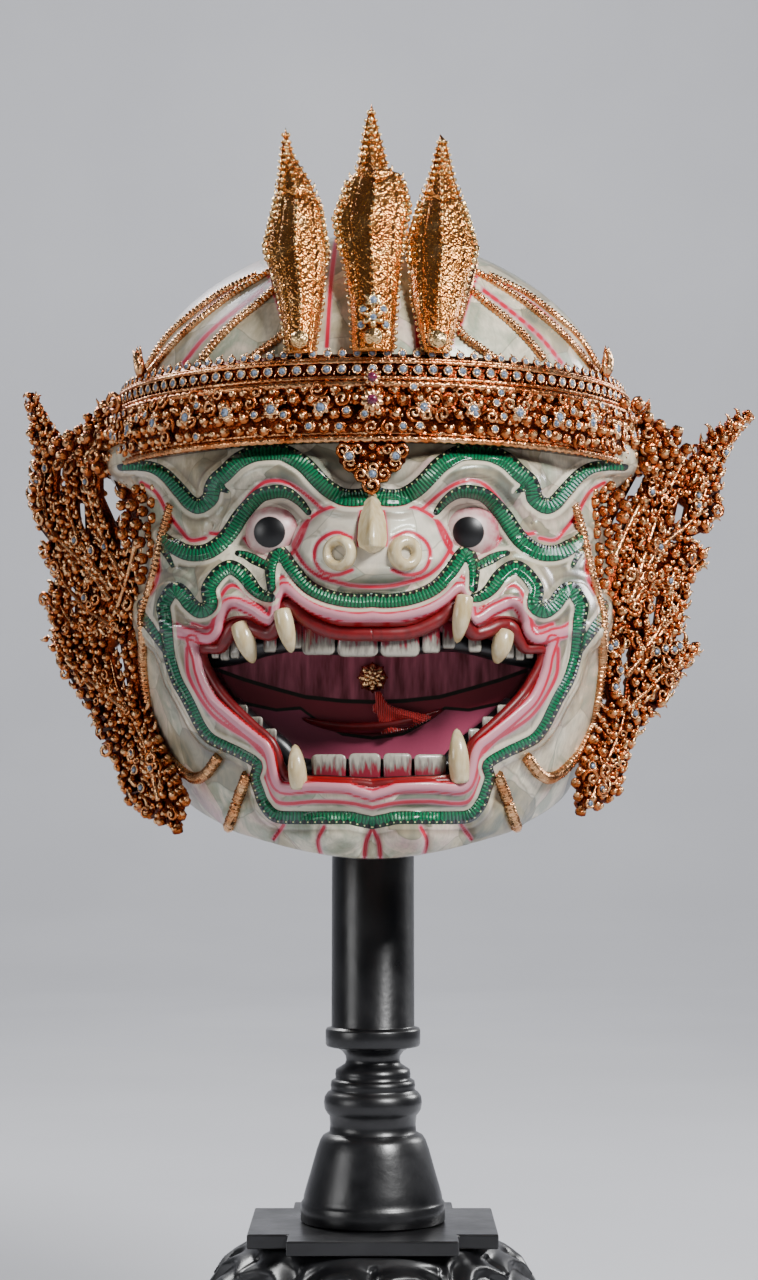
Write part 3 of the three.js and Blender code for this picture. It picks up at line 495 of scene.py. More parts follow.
def gather(parts, high=0.7):
    """One bmesh of many: bmeshes, and templates repeated by a list of places."""
    whole = bmesh.new()
    whole.verts.layers.float.new("high")
    for part in parts:
        template, places = part if isinstance(part, tuple) else once(part, high)
        for place in places:
            copy = template.copy()
            copy.transform(place)
            if place.determinant() < 0:
                copy.flip_normals()
            whole.from_mesh(copy)
            bpy.data.meshes.remove(copy)
    return whole


def finish_piece(name, bm, material, replaces=(), shade=True):
    """Scales to metres, makes the object, and hands it to the frame."""
    bmesh.ops.scale(bm, vec=(.001, .001, .001), verts=bm.verts)
    mesh = bpy.data.meshes.new(name)
    bm.to_mesh(mesh)
    bm.free()
    for polygon in mesh.polygons:
        polygon.use_smooth = shade
    mesh.materials.append(material)
    piece = bpy.data.objects.new(name, mesh)
    bpy.context.scene.collection.objects.link(piece)
    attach(piece, "root")
    if replaces:
        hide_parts(*replaces)
    return piece


def standing(point, outward, up=(0, 0, 1), size=1.0, spin=0.0, mirror=False):
    """A place whose Z looks outward and whose Y looks up, turned by spin about its own Z."""
    z = Vector(outward).normalized()
    x = Vector(up).cross(z).normalized()
    turn = Matrix((x, z.cross(x), z)).transposed().to_4x4()
    scale = Matrix.Diagonal((-size if mirror else size, size, size, 1))
    return Matrix.Translation(Vector(point)) @ turn @ Matrix.Rotation(spin, 4, "Z") @ scale


def rosette_at(point, outward, size, count, spin=0.0):
    """The places of petals round a point."""
    return [standing(point, outward, size=size, spin=spin + 2 * math.pi * k / count) for k in range(count)]


def ball(sides=6, rows=4, flat=1.0):
    bm = bmesh.new()
    bmesh.ops.create_uvsphere(bm, u_segments=sides, v_segments=rows, radius=1)
    bmesh.ops.scale(bm, vec=(1, 1, flat), verts=bm.verts)
    return bm


# Templates of the gilt relief, one unit in size
share = np.linspace(0, 1, 12)
spiral = np.stack([np.cos(share * 8.2) * (1 - .78 * share), np.sin(share * 8.2) * (1 - .78 * share),
                   .25 + .55 * share], 1)
CURL = as_template(tube(np.vstack([[.75, -1.1, 0], spiral]), np.concatenate([[.12], .3 - .1 * share]), 5))
HOOK = as_template(tube([(0, 0, 0), (.1, .5, .2), (.05, 1, .3), (-.2, 1.45, .3), (-.6, 1.75, .2)],
                        (.42, .4, .3, .18, .03), 5))
PETAL = as_template(tube([(0, 0, 0), (0, .5, .25), (0, 1, .3), (0, 1.4, .1)], (.2, .42, .36, .05), 6))
PEBBLE = as_template(ball(6, 4), 0.9)
STONE = as_template(ball(8, 5, .6), 1.0)
KNOB = as_template(lathe([(1.05, -.7), (1.1, 0), (.95, .3), (.6, .38), (.62, .75), (.35, 1.05), (0, 1.1)], 7))
COLLAR = as_template(lathe([(1.45, -.6), (1.35, .25), (1.05, .35), (.95, 0), (.95, -.6), (1.45, -.6)], 8))

# Gold leaf over pressed lacquer: coppery, with painted shade that makes it dark red-brown in its hollows
# and a painted highlight that makes it pale on its tops, both by the attribute high. The grain of the lacquer
# under the leaf is about 1 mm. It is faint on the relief and strong on the spires, whose leaf is paler.
for name, grain_scale, grain_depth, shade_to_highlight_tones in (
        ("gilded_lacquer_relief", 900.0, 0.0006, ("#2A0C05", "#7A3014", "#BE6A34", "#F0BE8A")),
        ("granulated_gilding", 950.0, 0.0009, ("#4A1A0A", "#A85A26", "#CE8A48", "#F2CD92"))):
    _, tree, shader, place = new_material(name, Metallic=1.0, Roughness=0.27)
    high = add_node(tree, "Attribute", attribute_name="high").outputs["Fac"]
    patchy = add_node(tree, "TexNoise", {"Vector": place, "Scale": 120.0, "Detail": 5.0})
    leafed = add_node(tree, "Math", {0: patchy, 1: 0.6}, operation="MULTIPLY")
    share = add_node(tree, "Math", {0: high, 1: 0.72, 2: leafed}, operation="MULTIPLY_ADD")
    # From painted shade in the hollows to a painted highlight on the tops, with the leaf's coppery colour
    # between
    tones = add_node(tree, "ValToRGB", {"Fac": share}, stops=list(zip((0.22, 0.45, 0.72, 1.0), shade_to_highlight_tones)))
    grain = add_node(tree, "TexVoronoi", {"Vector": place, "Scale": grain_scale}, feature="SMOOTH_F1")
    lumps = add_node(tree, "TexNoise", {"Vector": place, "Scale": grain_scale / 2, "Detail": 3.0})
    uneven = add_node(tree, "Math", {0: lumps, 1: grain}, operation="SUBTRACT")
    surface(tree, shader, tones, uneven, 0.6, grain_depth)
gilt = bpy.data.materials["gilded_lacquer_relief"]
granulated = bpy.data.materials["granulated_gilding"]

# Cut glass on foil, very smooth: pale grey-blue with a dark middle, and a darker garnet red for the two
# stones on the front of the diadem. Facets of about 1 mm, plainly cut in the pale stones alone.
for name, roughness, stone_tones, cut in (
        ("foiled_glass_stones", 0.06, ((0, "#141C2A"), (0.7, "#8494AC")), 0.5),
        ("dark_garnet_glass", 0.08, ((0, "#2A0614"), (1, "#7E2E4C")), 0.0)):
    _, tree, shader, place = new_material(name, Roughness=roughness, IOR=1.6)
    facets = add_node(tree, "TexVoronoi", {"Vector": place, "Scale": 900.0}, feature="F1")
    surface(tree, shader, add_node(tree, "ValToRGB", {"Fac": facets}, stops=stone_tones), facets, cut, 0.0008)
glass = bpy.data.materials["foiled_glass_stones"]
garnet = bpy.data.materials["dark_garnet_glass"]

# Mother-of-pearl plates of about 25 mm set edge to edge in lacquer and polished, with painted ribbons.
# Each plate has its own tint of cream, green or pink, with fine streaks 2 to 3 mm apart that run down.
pearl, tree, shader, place = new_material("pearl_inlay_with_painted_ribbons", Roughness=0.36, Coat_Weight=0.4,
                                          Coat_Roughness=0.14, Thin_Film_Thickness=380.0, Thin_Film_IOR=1.45)
drift = add_node(tree, "TexNoise", {"Vector": place, "Scale": 30.0, "Detail": 2.0}).outputs["Color"]
nudge = add_node(tree, "VectorMath", {0: drift, "Scale": 0.012}, operation="SCALE")
bent = add_node(tree, "VectorMath", {0: place, 1: nudge}, operation="ADD")
plates = add_node(tree, "TexVoronoi", {"Vector": bent, "Scale": 34.0}, feature="F1").outputs["Color"]
seams = add_node(tree, "TexVoronoi", {"Vector": bent, "Scale": 34.0}, feature="DISTANCE_TO_EDGE")
cloud = add_node(tree, "TexNoise", {"Vector": place, "Scale": 60.0, "Detail": 3.0, "Distortion": 0.8})
cell = add_node(tree, "SeparateColor", {0: plates})
both = add_node(tree, "Math", {0: cell, 1: cloud}, operation="ADD")
sheen = add_node(tree, "Math", {0: both, 1: 0.5}, operation="MULTIPLY")
tints = add_node(tree, "ValToRGB", {"Fac": sheen}, stops=(
    (0.22, "#6E7264"), (0.36, "#B4A688"), (0.48, "#EADFC6"), (0.6, "#9AA28C"), (0.72, "#DCCAB4"),
    (0.85, "#C6969E")))
drawn_out = add_node(tree, "Mapping", {"Vector": place, "Scale": (1.0, 1.0, 0.22)})
streaks = add_node(tree, "TexNoise", {"Vector": drawn_out, "Scale": 420.0, "Detail": 5.0, "Distortion": 1.2})
# A paler cream round the middle of the muzzle: partly its own pale pearl, partly a painted highlight on its
# bulge
muzzle = add_node(tree, "Mapping", {"Vector": place, "Scale": (20, 12, 45), "Location": (0, 1.68, -19.1)})
off_muzzle_highlight = add_node(tree, "VectorMath", {0: muzzle}, operation="LENGTH")
green, green_along, dotted, red, pink, lip, mouth, palate, floor_edge, pale = (
    add_node(tree, "Attribute", attribute_name=name).outputs["Fac"] for name in (
        "green_edge", "green_along", "dotted_edge", "red_edge", "pink_edge", "lip_edge", "mouth_edge",
        "palate", "floor_edge", "pale_edge"))

# Across the ribbons run fine lines 1.8 mm apart, and along one edge black dots with pale ones between,
# 3.6 mm apart.
cross = add_node(tree, "Math", {0: green_along, 1: 0.9}, operation="PINGPONG")
to_black = add_node(tree, "Math", {0: green_along, 1: 1.8}, operation="PINGPONG")
to_pale = add_node(tree, "Math", {0: 1.8, 1: to_black}, operation="SUBTRACT")
aside = add_node(tree, "Math", {0: dotted, 1: 1.0}, operation="SUBTRACT")
black_dot, pale_dot = (
    add_node(tree, "VectorMath", {0: add_node(tree, "CombineXYZ", {0: to_dot, 1: aside})}, operation="LENGTH")
    for to_dot in (to_black, to_pale))
on_green = add_node(tree, "MapRange", {"Value": green, "From Min": -0.1, "From Max": 0.1})
# Where the painted shadow beside the ribbons stops, short of their edges
ribbon_shadow_limit = add_node(tree, "MapRange", {"Value": green, "From Min": -2.2, "From Max": -3.0})

# The open mouth: a brushed palate above and a pink floor below, each behind a black line
brushed = add_node(tree, "Mapping", {"Vector": place, "Scale": (1.0, 1.0, 0.15)})
flesh_streaks = add_node(tree, "TexNoise", {"Vector": brushed, "Scale": 260.0, "Detail": 3.0})
flesh = add_node(tree, "ValToRGB", {"Fac": flesh_streaks}, stops=((0.35, "#6C2434"), (0.66, "#BC6074")))
off_floor, off_palate = (
    add_node(tree, "Math", {0: edge}, operation="ABSOLUTE") for edge in (floor_edge, palate))
in_mouth = painted(tree, "#8A2438", (
    (palate, -1.0, 1.0, 1.0, flesh, None),
    (floor_edge, -0.4, 0.4, 1.0, "#B04A68", None),
    (off_floor, 1.1, 0.6, 1.0, "#160608", None),
    (off_palate, 1.3, 0.8, 1.0, "#160608", None)))
colour = painted(tree, tints, (
    (streaks, 0.3, 0.7, 0.4, "#857F6C", None),
    # painted highlight and pale pearl on the muzzle
    (off_muzzle_highlight, 1.25, 0.85, 0.55, "#EADFCE", None),
    (seams, 0.014, 0.003, 0.45, "#6E6A58", None),
    # Painted shadow: a brown-grey band just outside the green ribbons
    (green, -6.5, -3.2, 0.5, "#5A4A40", ribbon_shadow_limit),
    (pink, -0.5, 0.3, 1.0, "#CE8A96", None),
    (red, -0.9, -0.3, 0.75, "#C8788A", None),
    (red, -0.15, 0.15, 1.0, "#C0203A", None),
    (pale, -0.3, 0.3, 1.0, "#CDC2AC", None),
    (lip, -0.2, 0.2, 1.0, "#8E0810", None),
    (mouth, -0.6, 0.2, 1.0, "#170506", None),
    (mouth, 3.0, 6.0, 1.0, in_mouth, None),
    (green, -0.1, 0.1, 1.0, "#02683F", None),
    (cross, 0.36, 0.12, 1.0, "#02281A", on_green),
    (green, 0.55, 0.25, 1.0, "#10130F", on_green),
    (black_dot, 1.4, 1.15, 1.0, "#0B0B0A", on_green),
    (pale_dot, 0.44, 0.28, 1.0, "#E6DC9A", on_green)))
raised = add_node(tree, "Math", {0: cross, 1: 0.9}, operation="DIVIDE")
ribbed = add_node(tree, "Math", {0: raised, 1: on_green}, operation="MULTIPLY")
streaked = add_node(tree, "Math", {0: streaks, 1: 0.25}, operation="MULTIPLY")
surface(tree, shader, colour, add_node(tree, "Math", {0: ribbed, 1: streaked}, operation="ADD"), 0.6, 0.0007)

# Carved shell or bone, polished: warm cream with long faint growth lines about 3 mm apart.
bone, tree, shader, place = new_material("polished_shell_and_bone", Roughness=0.24, Coat_Weight=0.5,
                                         Coat_Roughness=0.1)
drawn_out = add_node(tree, "Mapping", {"Vector": place, "Scale": (1.0, 1.0, 0.25)})
growth = add_node(tree, "TexNoise", {"Vector": drawn_out, "Scale": 330.0, "Detail": 4.0})
tones = add_node(tree, "ValToRGB", {"Fac": growth}, stops=((0.3, "#BBA272"), (0.68, "#DCCDA6")))
surface(tree, shader, tones, growth, 0.15, 0.0004)

# Painted shell teeth: greyish, polished, darker grey towards the roots as painted shade under the lip, with
# red brushed in at the roots in strokes about 1.5 mm wide.
enamel, tree, shader, place = new_material("painted_shell_teeth", Roughness=0.3, Coat_Weight=0.4,
                                           Coat_Roughness=0.12)
near_root = add_node(tree, "Attribute", attribute_name="high").outputs["Fac"]
drawn_out = add_node(tree, "Mapping", {"Vector": place, "Scale": (1.0, 1.0, 0.2)})
strokes = add_node(tree, "TexNoise", {"Vector": drawn_out, "Scale": 700.0, "Detail": 3.0})
rooted = add_node(tree, "Math", {0: near_root, 1: strokes}, operation="ADD")
surface(tree, shader, add_node(tree, "ValToRGB", {"Fac": rooted}, stops=(
    (0.55, "#A39E90"), (0.78, "#77716A"), (0.95, "#7E1B2C"))))

# Glazed eyes: warm white lacquer blushed pink towards the rim, with a wide black pupil.
glaze, tree, shader, place = new_material("glazed_eye_lacquer", Roughness=0.4, Coat_Weight=0.15,
                                          Coat_Roughness=0.3)
from_middle = add_node(tree, "Attribute", attribute_name="pupil").outputs["Fac"]
veins = add_node(tree, "TexNoise", {"Vector": place, "Scale": 300.0, "Detail": 4.0})
to_rim = add_node(tree, "MapRange", {"Value": from_middle, "From Min": 8.5, "From Max": 15.0, "To Min": 0.5,
                                     "To Max": 1.7})
blush = add_node(tree, "Math", {0: to_rim, 1: veins}, operation="MULTIPLY")
white = add_node(tree, "Mix", {0: blush, 6: "#DCCFC6", 7: "#B8485E"}, data_type="RGBA")
surface(tree, shader, painted(tree, white, (
    (from_middle, PUPIL_R + .2, PUPIL_R - .2, 1.0, "#08080A", None),)))

# Red lacquer on the tongue and the lip roll: brushed, half glossy, darker in strokes about 4 mm wide.
tongue_red, tree, shader, place = new_material("red_lacquer", Roughness=0.42, Coat_Weight=0.15,
                                               Coat_Roughness=0.2)
strokes = add_node(tree, "TexNoise", {"Vector": place, "Scale": 240.0, "Detail": 4.0, "Distortion": 0.6})
surface(tree, shader, add_node(tree, "ValToRGB", {"Fac": strokes}, stops=((0, "#3C0306"), (0.62, "#74080E"))))

# Twisted silk thread: strands about 0.5 mm wide run down the tassel, drawn at 1 mm to show.
thread, tree, shader, place = new_material("red_silk_thread", Roughness=0.55, Sheen_Weight=0.6,
                                           Sheen_Roughness=0.4)
strands = add_node(tree, "TexWave", {"Vector": place, "Scale": 320.0, "Distortion": 2.0, "Detail": 2.0},
                   bands_direction="X").outputs["Fac"]
surface(tree, shader, add_node(tree, "ValToRGB", {"Fac": strands}, stops=((0, "#8C0F14"), (1, "#E02A22"))),
        strands, 0.6, 0.0005)

# Black lacquered wood: near-black, half glossy, with a faint brushed unevenness about 4 mm wide
# and a grey dust that dulls it in patches.
lacquer, tree, shader, place = new_material("black_lacquered_wood", IOR=1.5, Coat_Weight=0.25,
                                            Coat_Roughness=0.25)
dust = add_node(tree, "TexNoise", {"Vector": place, "Scale": 45.0, "Detail": 6.0})
tones = add_node(tree, "ValToRGB", {"Fac": dust}, stops=((0.35, "#08080A"), (0.8, "#1E1E20")))
dulled = add_node(tree, "MapRange", {"Value": dust, "From Min": 0.3, "From Max": 0.75, "To Min": 0.27,
                                     "To Max": 0.46})
tree.links.new(dulled.outputs[0], shader.inputs["Roughness"])
brush = add_node(tree, "TexNoise", {"Vector": place, "Scale": 260.0, "Detail": 3.0})
surface(tree, shader, tones, brush, 0.14, 0.0008)

# Plain pale paper sweep for the floor, with a very faint unevenness.
paper, tree, shader, place = new_material("pale_paper_floor", Roughness=0.8)
fibre = add_node(tree, "TexNoise", {"Vector": place, "Scale": 3.0, "Detail": 3.0})
surface(tree, shader, add_node(tree, "ValToRGB", {"Fac": fibre}, stops=((0, "#B9BAC0"), (1, "#C6C7CC"))))


# The head
def head_grid(across, up):
    """Places on the shell: up runs from the crown down the inside to the rim, then up the outside."""
    theta = np.radians(np.interp(across, [0, .08, .92, 1], [-180, -82, 82, 180]))
    made = np.zeros((len(across), 3))
    hollow = up < INSIDE_SHARE
    down = up[hollow] / INSIDE_SHARE * 1.02
    t = theta[hollow]
    low, crown = rim_at(t), CROWN_Z - WALL
    turned = np.clip(down, 0, .35) / .35
    z = np.where(down < .35, FACE_TOP_Z + (crown - FACE_TOP_Z) * np.cos(turned * math.pi / 2),
                 FACE_TOP_Z + (low - FACE_TOP_Z) * np.clip((down - .35) / .65, 0, 1))
    shrunk = SKULL_Z + (z - SKULL_Z) * (CROWN_Z - SKULL_Z) / (crown - SKULL_Z)
    inner = head_point(t, z, -WALL, inner_rise, (7, 14))
    domed = head_point(t, np.minimum(shrunk, CROWN_Z), 0, inner_rise, (7, 14))
    share = np.where(shrunk > SKULL_Z, (SKULL_R - WALL) / SKULL_R, 1)
    domed = np.stack([domed[:, 0] * share, domed[:, 1] * share, z], 1)
    made[hollow] = np.where((z > SKULL_Z)[:, None], domed, inner)
    way = (up[~hollow] - INSIDE_SHARE) / (1 - INSIDE_SHARE)
    t = theta[~hollow]
    low = rim_at(t)
    above = np.sin(np.clip((way - FACE_SHARE) / (1 - FACE_SHARE), 0, 1) * math.pi / 2)
    z = np.where(way < FACE_SHARE, low + (FACE_TOP_Z - low) * way / FACE_SHARE,
                 FACE_TOP_Z + (CROWN_Z - FACE_TOP_Z) * above)
    made[~hollow] = head_point(t, z, 0, carved_rise)
    return made


def paint_head(piece):
    """Distances in millimetres to the painted lines, which the material turns into crisp colour."""
    co = np.zeros(len(piece.data.vertices) * 3, np.float32)
    piece.data.vertices.foreach_get("co", co)
    x, y, z = co.reshape(-1, 3).T.astype(float) * 1000
    u, v = seen(x, y, z)
    side = np.abs(u)

    def nearest(lines):
        return np.min([measure(side, v, line)[0] for line in lines], axis=0)

    edge, pale = np.full(u.shape, -9.0), np.full(u.shape, -9.0)
    along, dotted = np.zeros(u.shape), np.full(u.shape, 9.0)
    for line, halves, _ in GREEN:
        away, way, left, whole = measure(side, v, line)
        half = np.interp(way / whole, *np.array(halves).T)
        wins = half - away > edge
        edge = np.where(wins, half - away, edge)
        along = np.where(wins, way, along)
        dotted = np.where(wins, half - left, dotted)
        pale = np.maximum(pale, np.where(left < 0, .8 - np.abs(away - half - 1.1), -9))
    to_lips = nearest([line for line, _, _ in PINK])
    pink = LIP_HALF - to_lips
    lip_borders = np.max([.6 - np.abs(measure(side, v, line)[0] - half) for line, half, _ in PINK], axis=0)
    red = np.maximum(.8 - nearest(FINE_RED), lip_borders)
    mouth = np.where(inside(u, v, MOUTH_OUTLINE), 1, -1) * measure(side, v, MOUTH_HALF)[0]
    lip = np.interp(v, [300, 360, 380, 392, 402], [4.2, 5, 4.4, 2, 1.6]) + mouth
    lip = np.where(pink > 0, -1, lip)
    shown = (y < 12) & (z < DIADEM_BOTTOM_Z + 1)
    outside = shown & (np.hypot(x, y) > 60)
    crown = np.where((y < -30) & (z > DIADEM_TOP_Z), .9 - nearest(DOME_RED), -9)
    values = {
        "green_edge": np.where(outside, edge, -9), "green_along": along, "dotted_edge": dotted,
        "red_edge": np.where(outside, red, crown), "pale_edge": np.where(outside, pale, -9),
        "pink_edge": np.where(shown, pink, -9), "lip_edge": np.where(shown, lip, -9),
        "mouth_edge": np.where(shown & (y < -70), mouth, -9),
        "floor_edge": np.interp(side, *np.array(FLOOR_EDGE).T) - v,
        "palate": v - np.interp(side, *np.array(PALATE_EDGE).T)}
    for name, value in values.items():
        add_values(piece.data, name, value)


head_form = wrapped(HEAD_COLUMNS, HEAD_ROWS, head_grid)
head = finish_piece("mask_head", head_form, pearl, ["mask_shell"])
paint_head(head)


# Eyes, nose and fangs
for side, name, pupil_u in ((1, "eye_right", 48), (-1, "eye_left", -51.5)):
    centre = on_head(EYE[0] * side, EYE[1], 8.5 - 15)[0]
    bm = bmesh.new()
    bmesh.ops.create_uvsphere(bm, u_segments=48, v_segments=32, radius=EYE_BALL_R)
    bmesh.ops.translate(bm, vec=centre, verts=bm.verts)
    piece = finish_piece(name + "_ball", bm, glaze, [name])
    co = np.array([v.co for v in piece.data.vertices]) * 1000
    u, v = seen(*co.T)
    behind = np.where(co[:, 1] > centre[1], 20, 0)
    add_values(piece.data, "pupil", np.hypot(u - pupil_u, v - EYE[1]) + behind)

# The nose wedge: heights, and there its half width and how far it stands out
WEDGE = [(456, 2.6, 2), (452, 3.6, 4), (446, 5.2, 5), (438, 7, 6), (430, 7.4, 6.4), (426.5, 6.6, 6.2),
         (423.5, 1.5, 3)]


def bridge_grid(across, up):
    rows = np.array(WEDGE)[::-1]
    v, half, lift = (np.interp(up, np.linspace(0, 1, len(rows)), column) for column in rows.T)
    turn = across * 2 * math.pi
    base = on_head(half * np.sin(turn), v, 0)
    base[:, 1] -= np.where(np.cos(turn) > 0.2, -4, lift * (1.5 - 1.1 * np.abs(np.sin(turn)) ** .8))
    return base


finish_piece("nose_wedge", wrapped(24, 30, bridge_grid), bone, ["nose_bridge"])
for side, name, hole in ((1, "nostril_right", 2.6), (-1, "nostril_left", 3.4)):
    ring = lathe([(hole, -9), (hole, 1.2), (hole + .5, 2.4), (hole + 1.4, 3.2), (5, 3.6), (6.6, 3),
                  (7.7, 1.6), (8, 0), (8, -9), (hole, -9)], 40)
    turned = Matrix.Rotation(side * math.radians(26), 3, "Z") @ Matrix.Rotation(math.pi / 2, 3, "X")
    bmesh.ops.rotate(ring, matrix=turned, verts=ring.verts)
    bmesh.ops.translate(ring, vec=on_head(16.5 * side, 423.5)[0], verts=ring.verts)
    finish_piece(name + "_ring", ring, bone, [name])

# The fangs: root and tip as seen, width, and how far root and tip stand out
FANGS = {
    "fang_upper_inner_right": ((46, 401), (42, 378), 9, 4),
    "fang_upper_inner_left": ((-45, 394), (-40, 373), 9, 4),
    "fang_upper_outer_right": ((66, 383), (61.5, 368), 10, 2),
    "fang_upper_outer_left": ((-66, 387), (-59, 368), 10, 2),
    "fang_lower_right": ((43.5, 310), (42, 336), 10, 1),
    "fang_lower_left": ((-36.5, 307), (-38.5, 328), 9, 1),
}
share = np.linspace(0, 1, 16)
belly = np.sin(share * math.pi)
for name, (root, tip, width, lift) in FANGS.items():
    start, end = on_head(*root, lift)[0], on_head(*tip)[0]
    end[1] = start[1] + lift
    path = start + (end - start) * share[:, None]
    path[:, 1] -= 3 * belly
    radii = width / 2 * np.sqrt(np.clip(1 - share**2.2, 0, 1)) * (.86 + .14 * belly)
    finish_piece(name + "_tooth", tube(path, np.maximum(radii, .05), 20), bone, [name])


def tooth(left, right, root, tip, back):
    """One tooth: a rounded block between the two sides and the two heights, so far behind the lip."""
    bm = bmesh.new()
    bmesh.ops.create_cube(bm, size=1)
    bmesh.ops.bevel(bm, geom=bm.edges[:], offset=.16, offset_type="OFFSET", affect="EDGES", segments=3,
                    profile=0.5, material=-1)
    flat = np.array([v.co for v in bm.verts])
    tall = abs(tip - root)
    u = (left + right) / 2 + flat[:, 0] * (right - left) * np.where(flat[:, 2] * (tip - root) < 0, .95, 1)
    v = (root + tip) / 2 + flat[:, 2] * tall
    places = on_head(u, v)
    places[:, 1] = on_head(u, np.full(len(u), root))[:, 1] + back + flat[:, 1] * 6
    for vert, place in zip(bm.verts, places):
        vert.co = place
    bmesh.ops.recalc_face_normals(bm, faces=bm.faces)
    mesh = bpy.data.meshes.new("tooth")
    bm.to_mesh(mesh)
    bm.free()
    # high rises towards the root, where the teeth are painted darker as shade under the lip, then red
    add_values(mesh, "high", (1 - np.clip(np.abs(v - root) / tall, 0, 1)) * .8)
    return mesh, [Matrix()]


upper = [tooth(left, right, 390, tip, 7) for left, right, tip in (
    (-35, -18.6, 372.5), (-17.4, 2.8, 371.5), (4, 23.6, 371.5), (24.8, 34, 373.5))]
upper += [tooth(side * near, side * far, 390, tip, 9) for side in (1, -1) for near, far, tip in (
    (35, 41.5, 376), (48, 54.5, 374), (66.5, 71, 371), (71.5, 76, 370), (76.5, 80.5, 371))]
finish_piece("teeth_upper", gather(upper), enamel)

# Black lacquer fills the gaps behind the teeth
gums = []
for line in ([(0, 378), (22, 378.5), (38, 380), (52, 378), (66, 374), (80, 371.5)],
             [(0, 316), (20, 316), (36, 317), (46, 327), (58, 336), (70, 348)]):
    half = on_head(*flowing(line).T, -13)
    gums.append(tube(np.vstack([half[::-1] * (-1, 1, 1), half[1:]]), 4.6, 10))
finish_piece("teeth_dark_backing", gather(gums), lacquer)

lower = [tooth(left, right, 307, tip, 6) for left, right, tip in (
    (-30.5, -13, 323), (-11.8, 4.2, 323.5), (5.4, 19.6, 323.5), (20.8, 37, 323))]
lower += [tooth(side * near, side * far, root, tip, 9) for side in (1, -1) for near, far, root, tip in (
    (48, 54, 325, 336), (55, 61.5, 330, 342), (62.5, 69, 336, 348))]
finish_piece("teeth_lower", gather(lower), enamel)

# The tongue, and the red roll round the inside of the lips
share = np.linspace(-1, 1, 40)
arc = np.stack([33 * share, -83 + 2 * share**2, 333.5 + 6.5 * share**2 + 2 * share], 1)
tongue = tube(arc, 5.6 * np.sqrt(np.clip(1 - share**2, .001, 1)) + .2, 16, flat=.45)
roll = flowing(RED_ROLL, 1)
roll = np.vstack([roll, roll[::-1][1:] * (-1, 1)])
roll_radii = np.interp(roll[:, 1], [306, 330, 372, 384], [2.3, 2.1, 2.2, 3.4])
lips = tube(on_head(roll[:, 0], roll[:, 1], -1.2), roll_radii, 12, ring=True)
finish_piece("tongue_and_gums", gather([tongue, lips]), tongue_red)

# The rosette on the palate and its tassel
FORWARD = (0, -1, 0)
petals = rosette_at((0, -81, 357), FORWARD, 5.2, 8) + rosette_at((0, -83, 357), FORWARD, 3.4, 8, math.pi / 8)
disc = lathe([(0, 0), (6, 0), (6.4, 1), (4, 3), (0, 4)], 24)
bmesh.ops.rotate(disc, matrix=Matrix.Rotation(math.pi / 2, 3, "X"), verts=disc.verts)
bmesh.ops.translate(disc, vec=(0, -80.4, 357), verts=disc.verts)
rosette = gather([disc, (PETAL, petals), (PEBBLE, [standing((0, -85, 357), FORWARD, size=2)])])
finish_piece("palate_rosette", rosette, gilt, ["mouth_rosette"])
strands = []
for share in np.linspace(0, 1, 15):
    top, middle = (2 + share, -86, 350), (3 + 5 * share, -87.5, 341 + 2 * share)
    end = (5 + 22 * share, -84 - 2 * math.sin(9 * share), 331 + 7 * share**1.6)
    strands.append(tube(flowing([top, middle, end]), 1.1, 6))
knot = ball(12, 8)
bmesh.ops.scale(knot, vec=(2.2, 2.2, 2.6), verts=knot.verts)
bmesh.ops.translate(knot, vec=(2, -85.5, 342.5), verts=knot.verts)
finish_piece("palate_tassel", gather(strands + [knot]), thread, ["mouth_tassel"])


# The diadem
def outward_at(theta, up=0.0):
    return Vector((math.sin(theta), -math.cos(theta), up))


def rope(radius, z, thick, pitch):
    """A twisted rope laid round the ring."""
    theta = np.linspace(0, 2 * math.pi, 701)
    path = np.stack([radius * np.sin(theta), -radius * np.cos(theta), np.full(theta.shape, z)], 1)
    twist = 2 * math.pi / pitch
    return tube(path, thick, 6, ring=True, bump=lambda way, turn: 1 + .22 * np.cos(2 * turn - way * twist))


def ring_places(count, radius, z, size, spin=0.0, rise=0.0):
    made = []
    for i in range(count):
        way = outward_at(2 * math.pi * i / count)
        made.append(standing(way * radius + Vector((0, 0, z)), way + Vector((0, 0, rise)),
                             size=size, spin=spin, mirror=i % 2 == 1))
    return made


RING_PROFILE = [(RING_R, 461.5), (128, 461.5), (129, 465), (131, 469), (131, 481), (128.5, 484.5), (129, 486),
                (128.5, 489), (126.8, 491), (127.2, 494), (127, 497.5), (124.5, 500), (123, 502),
                (RING_R, 502), (RING_R, 461.5)]
curls, bosses, seeds, boss_stones = [], [], [], []
for row, (z, reach) in enumerate(((467.6, 130.2), (473.6, 131.6), (479.8, 131.2), (484.6, 129.4))):
    for i in range(SMALL_STONES):
        theta = 2 * math.pi * (i + .5 * (row % 2) + chance.uniform(-.12, .12)) / SMALL_STONES
        way = outward_at(theta, chance.uniform(-.2, .25))
        spot = Vector((reach * way[0], reach * way[1], z + chance.uniform(-.6, .6)))
        kind = chance.random()
        if kind < .25:
            curls.append(standing(spot + way, way, size=chance.uniform(3, 3.7),
                                  spin=chance.uniform(0, 2 * math.pi), mirror=chance.random() < .5))
        else:
            bosses.append(standing(spot, way, size=chance.uniform(2.3, 3.2)))
        if kind > .82:
            boss_stones.append(standing(spot + way * 3.2, way, size=1.5))
    for i in range(SEEDS):
        theta = 2 * math.pi * (i + chance.uniform(-.3, .3)) / SEEDS
        way = outward_at(theta, chance.uniform(-.3, .3))
        spot = ((reach - .3) * way[0], (reach - .3) * way[1], z + chance.uniform(-3.2, 3.2))
        seeds.append(standing(spot, way, size=chance.uniform(1.1, 1.5)))
